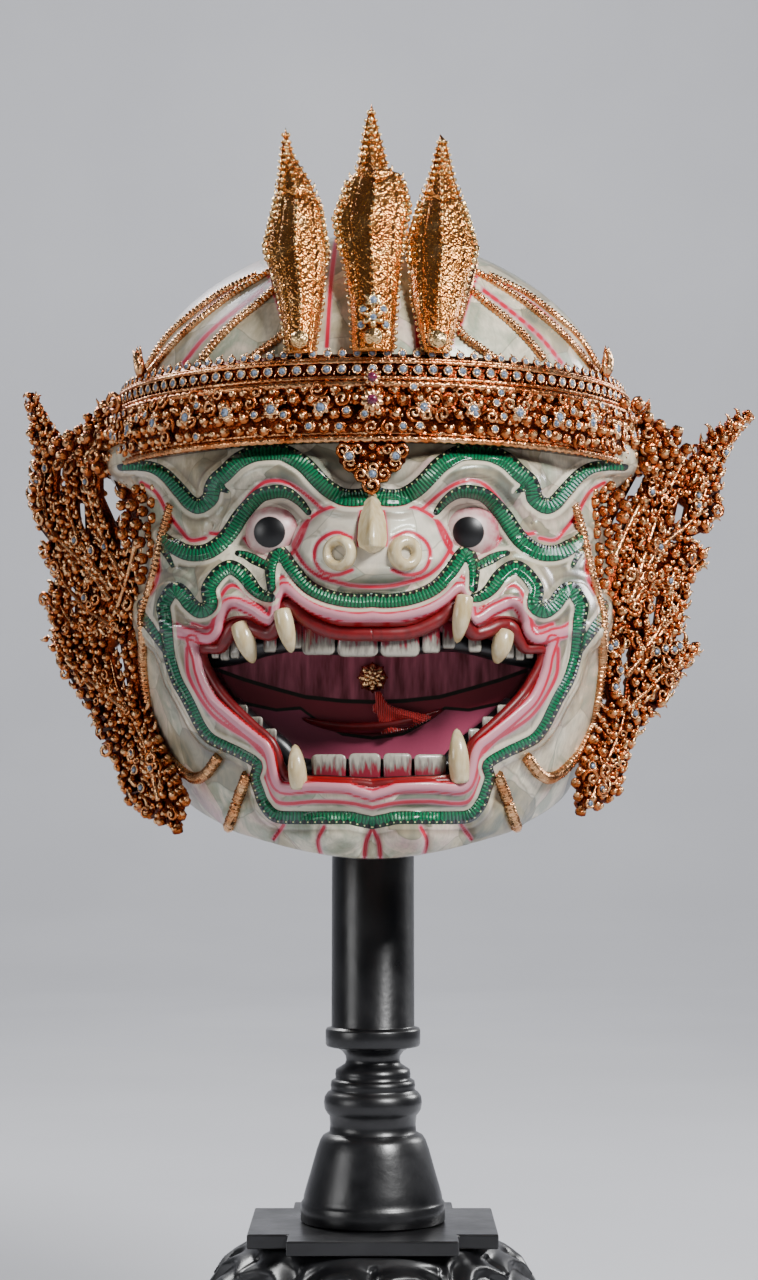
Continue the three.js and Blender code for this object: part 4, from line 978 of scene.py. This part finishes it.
stones = ring_places(FACING_STONES, 134.2, 476, 2.3) + ring_places(SMALL_STONES, 128.2, 494.2, 1.75)
stones += ring_places(SMALL_STONES, 125.8, 501.8, 1.5, spin=math.pi / SMALL_STONES, rise=.2)
petals = []
for i in range(FACING_STONES):
    way = outward_at(2 * math.pi * i / FACING_STONES)
    petals += rosette_at(way * 132.6 + Vector((0, 0, 476)), way, 3.4, 6)
petals += rosette_at((0, -133.4, 479), FORWARD, 4.4, 10) + rosette_at((0, -134.4, 489), FORWARD, 3.2, 8)

# The pendant over the nose: a plate with scrolls, bosses and stones
for u, z, size, spin in ((0, 441, 4, 3.14), (5, 446, 3.4, -2.6), (10, 451, 3.4, -2.2), (13, 457, 3.4, -1.9),
                         (0, 449, 3.2, 3.14), (7, 457, 3, -.6)):
    for side in ((-1, 1) if u else (1,)):
        curls.append(standing((side * u, -129.5 + u * .08, z), FORWARD, size=size, spin=side * spin,
                              mirror=side < 0))
stones += [standing((u, -131.5, z), FORWARD, size=2) for u, z in ((-10.5, 454), (10.5, 454), (0, 446))]
for u, z in ((9, 462), (3, 462), (11, 458), (4, 456), (3, 451), (6, 450), (0, 459), (0, 454)):
    bosses += [standing((side * u, -128.6, z), FORWARD, size=1.7) for side in ((-1, 1) if u else (1,))]
plate = bmesh.new()
corners = [(-15, 464), (15, 464), (15, 452), (9, 447), (4, 443), (0, 438.5), (-4, 443), (-9, 447), (-15, 452)]
thickened(plate, [plate.faces.new([plate.verts.new((x, -124.2, z)) for x, z in corners])], (0, -4.4, 0))

# Finials of small leaves at the sides of the ring: degrees round, foot, lean outwards
finials = []
FINIAL_LENGTH = 12
for side in (-1, 1):
    for degrees, foot_r, foot_z, lean in ((62, 125, 503, .1), (88, 131, 487, .5)):
        way = outward_at(side * math.radians(degrees))
        foot = way * foot_r + Vector((0, 0, foot_z))
        top = way * lean + Vector((0, 0, 1))
        facing = way - Vector((0, 0, lean))
        for share, size in ((0, 4.4), (.45, 3.52), (.85, 2.42)):
            finials += [standing(foot + top * FINIAL_LENGTH * share, facing, size=size, spin=spin,
                                 mirror=spin > 0)
                        for spin in (-.7, .7)]
        finials.append(standing(foot, facing, size=FINIAL_LENGTH * .62))

# Ropes: radius, height, thickness, pitch
ropes = [once(rope(*sizes), .72) for sizes in (
    (129.6, 462.2, 1.7, 4.4), (128.6, 465, 1.1, 3.6), (129.8, 487, 1.7, 4.4), (128.4, 490, 1.1, 3.4),
    (127.6, 497.6, 1.0, 3.4), (126.4, 499, .9, 3.4))]
spikes = ring_places(SMALL_STONES, 124.6, 501.6, 1.9, rise=.2)
spikes += [place @ Matrix.Rotation(math.pi / SMALL_STONES, 4, "Z")
           for place in ring_places(2 * SMALL_STONES, 128.2, 491.6, .9)]
# The ring and the pendant plate get high .02, so the gilt paints them dark all over as shade behind the
# relief
diadem = gather([lathe(RING_PROFILE, 160), plate, *ropes, (CURL, curls), (KNOB, bosses), (PEBBLE, seeds),
                 (COLLAR, stones + boss_stones), (PETAL, petals), (HOOK, finials + spikes)], .02)
finish_piece("diadem_relief", diadem, gilt, ["diadem"])
finish_piece("diadem_stones", gather([(STONE, stones + boss_stones)]), glass)
dark_stones = [standing((0, -137, 489), FORWARD, size=2.4), standing((0, -136, 479), FORWARD, size=2.6)]
finish_piece("diadem_dark_stones", gather([(STONE, dark_stones)]), garnet)

# The spires: seat angle, then the right and the left edge from foot to tip, as seen
SPIRES = {
    "spire_centre": (0, [(11, 529), (12, 550), (16, 590), (18.5, 600), (14, 617), (8, 619), (3, 638),
                         (-.5, 651.5)],
                     [(-10, 529), (-11, 552), (-15, 575), (-19, 594), (-12, 614), (-8, 618), (-3.5, 643),
                      (-.5, 651.5)]),
    "spire_left": (-16, [(-29, 530), (-25, 554), (-23, 580), (-26.5, 600), (-31, 612), (-40, 626),
                         (-44, 639.5)],
                   [(-43, 530), (-46.5, 555), (-51, 571), (-54, 581), (-49, 602), (-46, 630), (-44, 639.5)]),
    "spire_right": (14, [(38, 530), (43, 547), (52, 580), (47, 597), (41, 615), (37, 633), (34, 636)],
                    [(26, 530), (20, 555), (18, 583), (24, 602), (30, 620), (34, 636)]),
}
SEAT_R = RING_R + DIADEM_THICKNESS * 0.35
SEAT_Z = DIADEM_TOP_Z + GAP
spire_stones = []
for name, (degrees, right, left) in SPIRES.items():
    seat = math.radians(degrees)
    seat_y = -SEAT_R * math.cos(seat)
    lean = SPIRE_LEAN * math.cos(seat)

    def flatten(u, v):
        """The place on the leaning plane of the blade that the camera sees at (u, v)."""
        slope = (v - EYE_Z) / EYE_DISTANCE
        z = (EYE_Z + slope * (EYE_DISTANCE + seat_y - SEAT_Z * lean)) / (1 - slope * lean)
        return u * (EYE_DISTANCE + seat_y + (z - SEAT_Z) * lean) / EYE_DISTANCE, z

    foot_z = min(flatten(*right[0])[1], flatten(*left[0])[1])
    tip_z = flatten(*right[-1])[1]
    foot_v, tip_v = min(right[0][1], left[0][1]), right[-1][1]
    length = tip_v - foot_v

    def blade_point(s, t, lift):
        """s from -1 to 1 across, t from foot to tip."""
        v = foot_v + length * t
        a = np.interp(v, *np.array(left).T[::-1])
        b = np.interp(v, *np.array(right).T[::-1])
        width = (b - a) / 2
        x, z = flatten((a + b) / 2 + width * s, v)
        z = SEAT_Z + (z - foot_z) * (tip_z - SEAT_Z) / (tip_z - foot_z)
        return np.stack([x, seat_y + (z - SEAT_Z) * lean - lift(s, t, width), z + 0 * s], -1), width

    def spot_at(s, t, lift=0.0):
        spots, width = blade_point(np.array([float(s)]), np.array([t]), lambda s, t, width: lift)
        return spots[0], width[0]

    def blade_lift(facing):
        def lift(s, t, width):
            rounded = .55 * np.sqrt(np.clip(1 - s * s, 0, 1)) + .3 * (1 - np.abs(s))
            front = 1.5 + np.minimum(width, 11) * rounded
            scales = .55 * np.abs(np.sin(math.pi * (t * length / 4.2 - np.abs(s) * width / 4.2)))
            scales *= .5 + .5 * np.abs(np.sin(math.pi * s * width / 2.6))
            ridge = 1.4 * np.clip(1 - np.abs(s) * width / 1.2, 0, 1)
            ridge -= 1.1 * np.exp(-((np.abs(s) - .62) / .05) ** 2)
            ridge -= 2.2 * np.exp(-((t - .68 - .05 * np.abs(s)) / .012) ** 2)
            taper = np.clip(1.15 - t, .15, 1) ** .5
            return np.where(facing > 0, (front + scales + ridge) * taper * np.clip(facing * 4, 0, 1),
                            -2.6 * taper * np.clip(-facing * 3, 0, 1) - .4 * scales)
        return lift

    def blade_grid(across, up):
        turn = across * 2 * math.pi
        return blade_point(np.sin(turn), up, blade_lift(np.cos(turn)))[0]

    beads, hooks = [], []
    for edge in (-1, 1):
        for k in range(SPIRE_BEADS):
            t = .02 + .94 * k / (SPIRE_BEADS - 1)
            spot, width = spot_at(edge, t)
            size = (2.1 if .4 < t < .7 else 1.2) * (1.2 - .4 * t)
            beads.append(standing(spot + np.array([0, -1.4, 0]), (edge * .6, -1, 0), size=size))
            beads.append(standing(spot + np.array([-edge * 2.4, -3.6, 0]), (edge * .4, -1, 0), size=1.1))
            if .38 < t < .74 and width > 2:
                hooks.append(standing(spot, (0, -1, .2), size=1.6, spin=-edge * .5, mirror=edge < 0))
    for t in np.linspace(.1, .92, 26):
        ridge = 2 + .85 * min(spot_at(0, t)[1], 11) * np.clip(1.15 - t, .15, 1) ** .5
        beads.append(standing(spot_at(0, t, ridge)[0], (0, -1, .2), size=1))
    foot, facing = spot_at(0, .045, 9)[0], (math.sin(seat), -1, .1)
    boss = rosette_at(foot, facing, 3.4, 8)
    stone = [standing(foot + np.array([0, -2, 0]), facing, size=3.1)]
    beads.append(standing(foot, facing, size=5.2))
    if name == "spire_centre":
        for lift, size in ((9, 4.2), (17, 3.4)):
            boss += rosette_at(foot + np.array([0, 1.5, lift]), (0, -1, .2), size, 6)
            stone.append(standing(foot + np.array([0, 0, lift]), (0, -1, .2), size=2.1))
        for across, lift in ((-5.5, 6), (5.5, 6), (-4.5, 13), (4.5, 13)):
            stone.append(standing(foot + np.array([across, 1.5, lift]), (across * .08, -1, .1), size=1.7))
    blade = gather([wrapped(SPIRE_COLUMNS, SPIRE_ROWS, blade_grid), (PEBBLE, beads), (HOOK, hooks),
                    (PETAL, boss), (COLLAR, stone)], .55)
    finish_piece(name + "_blade", blade, granulated, [name])
    spire_stones += stone
finish_piece("spire_stones", gather([(STONE, spire_stones)]), glass)

# The ear flames: side, how far they splay, then as seen their outline, their slits and their stems
FLAMES = {
    "ear_flame_right": (1, 55, [
        (113, 455), (112, 380), (117, 350), (110, 330), (101, 309), (103.5, 295), (112, 297.5), (122, 305),
        (124, 316), (130, 334), (146, 352), (161, 377.5), (149.5, 378), (153.5, 390), (158.5, 410),
        (165, 422), (157.5, 431), (166, 435), (172.5, 450), (174.5, 470), (178.5, 480), (187.5, 494),
        (169.5, 483.5), (161, 471.5), (154, 468), (145, 474), (134, 490), (126, 472)],
        [[(134, 458), (131, 459), (121, 440), (118, 428), (121, 427), (125, 438)],
         [(152, 446), (155, 444), (152, 430), (149, 432)], [(139, 402), (142, 404), (140, 390), (137, 389)],
         [(124, 372), (127, 372), (125, 354), (122, 356)]],
        [[(126, 400), (140, 424), (158, 440), (165, 455), (168, 470), (177, 482), (187, 493.5)],
         [(128, 405), (140, 440), (150, 461), (157, 474)], [(126, 395), (136, 408), (150, 411), (165, 422)],
         [(124, 345), (134, 354), (147, 366), (160.5, 377)], [(124, 362), (138, 378), (150, 395), (154, 412)],
         [(118, 420), (126, 437), (136, 455), (145, 472)],
         [(131, 372), (140, 384), (147, 396), (148, 408), (143, 402)],
         [(106, 300), (114, 318), (122, 336), (126, 352)]]),
    "ear_flame_left": (-1, 42, [
        (-113, 455), (-112, 385), (-116, 355), (-107, 330), (-93, 300), (-97, 286), (-106, 290), (-121, 300),
        (-126, 317), (-138, 342), (-154, 367), (-161.5, 400), (-157, 413), (-165, 426), (-160, 428),
        (-166, 436), (-170.5, 451), (-168.5, 468), (-172, 503), (-160, 484), (-153, 474), (-144, 483),
        (-136, 494), (-124, 478)],
        [[(-134, 462), (-131, 462), (-124, 445), (-126, 440), (-129, 441), (-134, 452)],
         [(-126, 433), (-120.5, 432), (-121, 427), (-126, 427)],
         [(-147, 447), (-144, 446), (-143.5, 435), (-146, 436)],
         [(-151, 407), (-148.5, 407), (-148.5, 393), (-151, 394)],
         [(-128, 372), (-125, 374), (-121, 352), (-123, 351)],
         [(-156.5, 472), (-153.5, 470), (-154, 455), (-157, 457)]],
        [[(-128, 400), (-142, 418), (-158, 434), (-163, 450), (-163, 467), (-166, 485), (-171.5, 502)],
         [(-128, 405), (-143, 427), (-151, 448), (-150, 465), (-148, 480)],
         [(-122, 410), (-133, 432), (-140, 452), (-141, 468), (-137, 490)],
         [(-124, 385), (-140, 395), (-152, 408), (-163, 425)],
         [(-120, 345), (-134, 356), (-148, 368), (-161, 382)], [(-105, 312), (-114, 320), (-125, 317)],
         [(-115, 430), (-122, 405), (-130, 388), (-143, 384), (-154, 396), (-156, 408)],
         [(-103, 300), (-112, 330), (-124, 352), (-130, 372)]]),
}
# As seen on the right: the beads between the diadem and a flame, and those beside the eye
SHOULDER = [(117, 500), (127, 498), (140, 486), (152, 479), (150, 466), (128, 463), (116, 466)]
CHEEK = [(108, 458), (118, 460), (126, 449), (125, 434), (121, 420), (119, 404), (114, 408), (109.5, 430)]
# Places tried for the beads of a flame, and how much wider than seen its slits are cut
TRIES = 30000
SLIT_WIDER = 1.4


def flame_place(u, v, side, splay, lift):
    """The place on a flame that the camera sees at (u, v), and the way it faces."""
    anchor = side * math.sqrt(SKULL_R**2 - FLAME_ANCHOR_Y**2)
    across, back = side * math.sin(math.radians(splay)), math.cos(math.radians(splay))
    s = (u * (EYE_DISTANCE + FLAME_ANCHOR_Y) - anchor * EYE_DISTANCE) / (EYE_DISTANCE * across - u * back)
    y = FLAME_ANCHOR_Y + s * back
    z = EYE_Z + (v - EYE_Z) * (EYE_DISTANCE + y) / EYE_DISTANCE
    out = Vector((side * back, -abs(across), 0))
    return Vector((anchor + s * across, y, z)) + out * lift, out


def closed(line):
    return np.vstack([line, line[:1]])


def scattered(border, holes, areas):
    """Beads that touch but don't bury each other, in the border and the extra areas: u, v, size, area."""
    dice = np.random.default_rng(11)
    tried = dice.uniform(border.min(0) - 4, border.max(0) + 4, (TRIES, 2))
    extra = [inside(*tried.T, area) for area in areas]
    fits = inside(*tried.T, border) & (measure(*tried.T, closed(border))[0] > 1.2)
    for hole in holes:
        fits &= ~inside(*tried.T, hole) & (measure(*tried.T, closed(hole))[0] > 2)
    fits |= extra[0] | extra[1]
    sizes = np.where(extra[0] | extra[1], dice.uniform(2.2, 3.2, TRIES), dice.uniform(1.5, 2.7, TRIES))
    kinds = extra[0] + 2 * extra[1]
    spots = np.zeros((0, 4))
    for (u, v), size, kind in zip(tried[fits], sizes[fits], kinds[fits]):
        if (np.hypot(spots[:, 0] - u, spots[:, 1] - v) > .84 * (spots[:, 2] + size)).all():
            spots = np.vstack([spots, [u, v, size, kind]])
    return spots


flame_stones = []
for name, (side, splay, outline, slits, stems) in FLAMES.items():
    border = np.array(outline)
    slits = [np.mean(slit, 0) + SLIT_WIDER * (np.array(slit) - np.mean(slit, 0)) for slit in slits]
    plate = bmesh.new()
    for line in [border] + slits:
        verts = [plate.verts.new(flame_place(u, v, side, splay, -FLAME_PLATE / 2)[0]) for u, v in line]
        for pair in zip(verts, verts[1:] + verts[:1]):
            plate.edges.new(pair)
    bmesh.ops.triangle_fill(plate, edges=plate.edges[:], use_beauty=True)
    thickened(plate, plate.faces[:], flame_place(150, 400, side, splay, 0)[1] * FLAME_PLATE)

    curls, collars, hooks, knobs, rods = [], [], [], [], []
    areas = [np.array(area) * (side, 1) for area in (SHOULDER, CHEEK)]
    for u, v, size, kind in scattered(border, slits, areas):
        if kind >= 2:
            near = min(abs(u), 112) * side
            spot = Vector(on_head(near, v)[0]) + Vector((u - near, -1, 0))
            knobs.append(standing(spot, (side * .5, -1, 0), size=size))
            continue
        for facing in ((1, -1, 3, -3) if kind else (1, -1)):
            lift = (.6 + 1.3 * (size - 1.2) + chance.uniform(0, 1.6)) * facing
            spot, out = flame_place(u, v, side, splay, lift)
            tilt = Vector([chance.uniform(-.35, .35) for _ in range(3)])
            out = (out * (1 if facing > 0 else -1) + tilt).normalized()
            if chance.random() < .12:
                curls.append(standing(spot + out * .8, out, size=size * chance.uniform(1.3, 1.8),
                                      spin=chance.uniform(0, 2 * math.pi), mirror=chance.random() < .5))
            else:
                knobs.append(standing(spot, out, size=size))
            if chance.random() < .12:
                hooks.append(standing(spot + out * 1.5, out, size=chance.uniform(2.2, 3.6),
                                      spin=-side * facing * chance.uniform(-.2, .9),
                                      mirror=chance.random() < .5))
        if chance.random() < .05:
            spot, out = flame_place(u, v, side, splay, 5)
            collars.append(standing(spot, out, size=1.9))
            flame_stones.append(standing(spot + out * .6, out, size=1.5))

    for line in stems:
        fine = flowing(line, 1.5)
        radii = np.linspace(1.5, .5, len(fine))
        for lift in (3.6, -3.6):
            path = [flame_place(u, v, side, splay, lift * (1 - .6 * i / len(fine)))[0]
                    for i, (u, v) in enumerate(fine)]
            rods.append(once(tube(path, radii, 7, bump=lambda way, turn: 1 + .15 * np.cos(way * 4)), .8))
        beside = fine[2::2]
        for i, (u, v) in enumerate(beside):
            way = fine[min(2 * i + 3, len(fine) - 1)] - fine[2 * i + 1]
            off = np.array([way[1], -way[0]]) / np.hypot(*way) * (2.5 if i % 2 else -2.5)
            spot, out = flame_place(u + off[0], v + off[1], side, splay, 3 - 2.4 * i / len(beside))
            knobs.append(standing(spot, out, size=chance.uniform(1.4, 2.1)))
            aim = way + off
            hooks.append(standing(spot, out, size=2.2, spin=math.atan2(-aim[0], aim[1]), mirror=i % 2 == 0))

    steps = closed(border)
    for start, end in zip(steps[:-1], steps[1:]):
        way = end - start
        count = max(1, int(np.hypot(*way) / 5.2))
        for u, v in start + way * np.arange(count)[:, None] / count:
            if abs(u) < 119 and v > 345:
                continue
            outside = np.array([way[1], -way[0]]) * -side
            if inside(np.array([u + .05 * outside[0]]), np.array([v + .05 * outside[1]]), border)[0]:
                outside = -outside
            aim = outside / np.hypot(*outside) + np.array([0, .7])
            spot, out = flame_place(u, v, side, splay, 0)
            if v > 330:
                hooks.append(standing(spot, out, size=chance.uniform(2.2, 3.9),
                                      spin=math.atan2(-aim[0], aim[1]), mirror=chance.random() < .5))
            else:
                knobs.append(standing(spot, (out + Vector((aim[0], 0, aim[1]))).normalized(), size=2.6))
            for face in (1, -1):
                spot = flame_place(u, v, side, splay, 1.5 * face)[0]
                knobs.append(standing(spot, out * face, size=chance.uniform(1.4, 1.9)))
    # The flame's plate gets high .02, so the gilt paints it dark all over as shade between the beads
    relief = gather([plate, (CURL, curls), (HOOK, hooks), (COLLAR, collars), (KNOB, knobs), *rods], .02)
    finish_piece(name + "_relief", relief, gilt, [name])
finish_piece("flame_stones", gather([(STONE, flame_stones)]), glass)

# Cords of coiled gilt wire: on the crown before and behind, down the edge of the face and on the chin
CROWN_COILS = [
    [(51, 566), (66, 557), (80, 547), (97, 532), (112, 514)],
    [(58, 564), (76, 555), (92, 543), (105, 530), (118, 508)],
    [(50, 556), (58, 549), (68, 541), (78, 531), (86, 521)],
    [(42, 538), (47, 532), (54, 527), (62, 521)], [(51, 570), (47.5, 556), (43, 541)],
]


def coiled(way, turn):
    """The coils of the wire, 2.1 mm apart."""
    return 1 + .2 * np.cos(way * 2 * math.pi / 2.1)


cords = []
for lines, radius, lift, fronts in ((CROWN_COILS, CORD_R, 1.1, (1, -1)),
                                    ([JAW_COIL, CHIN_COIL], FACE_CORD_R, 2.6, (1,))):
    for line in lines:
        fine = flowing(line, .55)
        spots = on_head(fine[:, 0] * (.97 if line is JAW_COIL else 1), fine[:, 1], lift)
        for side in (1, -1):
            for front in fronts:
                cords.append(tube(spots * (side, front, 1), radius, 8, coiled))
finish_piece("gilt_wire_cords", gather(cords, .8), gilt)

# The stand. The post: pairs of radius and height
COLUMN_PROFILE = [
    (0, 94.3), (35, 94.3), (35.5, 95), (35.5, 102.6), (34.9, 103.6), (34.2, 104.6), (34, 106.5), (32.8, 111),
    (31, 117), (29.3, 123), (27.6, 129), (26, 133.4), (24.6, 135.6), (22.4, 136.8), (21.4, 137.4),
    (21.1, 141), (21.5, 145.4), (22.6, 146.6), (23.8, 148.6), (24.2, 151.7), (23.8, 154.6), (22.4, 156.6),
    (20.9, 157.6), (20.6, 158.6), (20.9, 160), (20.5, 162.2), (19.2, 163), (18.4, 163.4), (18.6, 165.5),
    (18.2, 167.8), (16, 169.2), (13.8, 170.6), (13.2, 172.4), (13.6, 174.6), (15.2, 176.8), (17.6, 178.3),
    (21, 178.9), (22.8, 179.3), (23.4, 180.3), (23.4, 187), (22.9, 188), (20.9, 188.6), (20.5, 189.2),
    (20.2, 400), (20, 569.3), (11.5, 573.3), (0, 577.3)]
finish_piece("stand_column_turned", lathe(COLUMN_PROFILE, 96), lacquer, ["stand_column"])

SLAB_ARM, SLAB_STEP, SLAB_BOTTOM_Z = 60, 40.5, 86.9
slab = bmesh.new()
corners = []
for quarter in range(4):
    turned = Matrix.Rotation(quarter * math.pi / 2, 3, "Z")
    corners += [slab.verts.new(turned @ Vector((x, y, SLAB_BOTTOM_Z))) for x, y in (
        (SLAB_ARM, -SLAB_STEP), (SLAB_ARM, SLAB_STEP), (SLAB_STEP, SLAB_STEP))]
thickened(slab, [slab.faces.new(corners)], (0, 0, 7))
bmesh.ops.bevel(slab, geom=slab.edges[:], offset=.9, offset_type="OFFSET", affect="EDGES", segments=3,
                profile=0.5, material=-1)
finish_piece("stand_slab_moulded", slab, lacquer, ["stand_slab"], shade=False)

BASE_TOP_Z = 86.6
BASE_TOP_R, BASE_FOOT_R = 59, 99.5
BASE_PROFILE = [(0, 101), (14, 101), (17, 96), (32, 94.4), (50, 86.2), (64, 79.6), (75, 72.9), (83.6, 62),
                (BASE_TOP_Z, BASE_TOP_R)]
BASE_SCROLLS = 12
UNDER_SHARE, SIDE_SHARE = .08, .94


def base_grid(across, up):
    """The turned base with a ring of scrolls carved in it, each turned the other way than its neighbours."""
    angle = across * 2 * math.pi
    height = np.interp(up, [0, UNDER_SHARE, .1, .2, .23, SIDE_SHARE, 1],
                       [0, 0, 1.5, 13, 16.5, BASE_TOP_Z, BASE_TOP_Z])
    radius = np.interp(height, *np.array(BASE_PROFILE, float).T)
    radius = np.where(up < UNDER_SHARE, np.interp(up, [0, UNDER_SHARE], [0, BASE_FOOT_R]), radius)
    radius = np.where(up > SIDE_SHARE, np.interp(up, [SIDE_SHARE, 1], [BASE_TOP_R, 0]), radius)
    scroll = BASE_SCROLLS * across
    turn = np.floor(scroll) % 2 * 2 - 1
    a = (scroll - np.floor(scroll) - .5) * 2 * turn + .12
    b = (height - 50) / 34 * 1.5 + .25 * turn
    far = np.hypot(a, b)
    swirl = np.cos(2 * math.pi * (far * 2.1 - np.arctan2(b, a) / (2 * math.pi)))
    strands = .5 + .5 * np.cos(2 * math.pi * (far * 7 + .6 * swirl))
    carved = smooth(height, 17, 22) * smooth(84 - height, 0, 5) * (up < SIDE_SHARE)
    border = np.abs(a - .12) > .93
    radius = radius + carved * (2.2 * swirl + .7 * strands - 1.5 * border - 1.2)
    return np.stack([radius * np.cos(angle), radius * np.sin(angle), height], 1)


base = wrapped(BASE_COLUMNS, BASE_ROWS, base_grid)
finish_piece("stand_base_carved", base, lacquer, ["stand_base"])

# Floor: a sweep of paper that rises behind, with its wall left out before the part
floor = lathe([(0, 0), (3000, 0), (3600, 110), (4050, 480), (4300, 1100), (4400, 2200), (4400, 3600)], 72)
middles = [(face, face.calc_center_median()) for face in floor.faces]
nearer_wall = [face for face, middle in middles if middle.z > 100 and middle.y < 600]
bmesh.ops.delete(floor, geom=nearer_wall, context="FACES")
bmesh.ops.scale(floor, vec=(.001, .001, .001), verts=floor.verts)
floor_mesh = bpy.data.meshes.new("floor")
floor.to_mesh(floor_mesh)
floor.free()
for polygon in floor_mesh.polygons:
    polygon.use_smooth = True
floor_mesh.materials.append(paper)
floor_piece = bpy.data.objects.new("floor", floor_mesh)
bpy.context.scene.collection.objects.link(floor_piece)

# Light: a soft key from the right, a fill from the left, two rims, and a light for the paper behind
world = bpy.data.worlds.new("studio")
bpy.context.scene.world = world
world.use_nodes = True
world.node_tree.nodes["Background"].inputs["Color"].default_value = linear("#B4B8C4")
world.node_tree.nodes["Background"].inputs["Strength"].default_value = 0.13
MIDDLE = (0, 0, .4)
for name, spot, aim, size, power in (
        ("key", (.85, -1.0, 1.3), MIDDLE, .4, 44), ("fill", (-1.7, -.9, .7), MIDDLE, .8, 10),
        ("rim", (-.7, .9, 1.5), MIDDLE, .5, 22), ("rim_right", (1.1, .8, .9), MIDDLE, .4, 12),
        ("back_wall", (0, 2.0, 2.4), (0, 4.4, .4), 1.2, 70)):
    lamp = bpy.data.lights.new(name, "AREA")
    lamp.size = size
    lamp.energy = power
    holder = bpy.data.objects.new(name, lamp)
    holder.location = spot
    holder.rotation_euler = (Vector(aim) - Vector(spot)).to_track_quat("-Z", "Y").to_euler()
    bpy.context.scene.collection.objects.link(holder)

# Camera, at the photograph's angle
CAMERA_TILT = 3.76
camera_data = bpy.data.cameras.new("camera")
camera_data.sensor_width = 36
camera_data.lens = 71.3
camera = bpy.data.objects.new("camera", camera_data)
camera.location = (.003, -EYE_DISTANCE / 1000, EYE_Z / 1000)
camera.rotation_euler = (math.radians(90 + CAMERA_TILT), 0, 0)
bpy.context.scene.collection.objects.link(camera)
bpy.context.scene.camera = camera
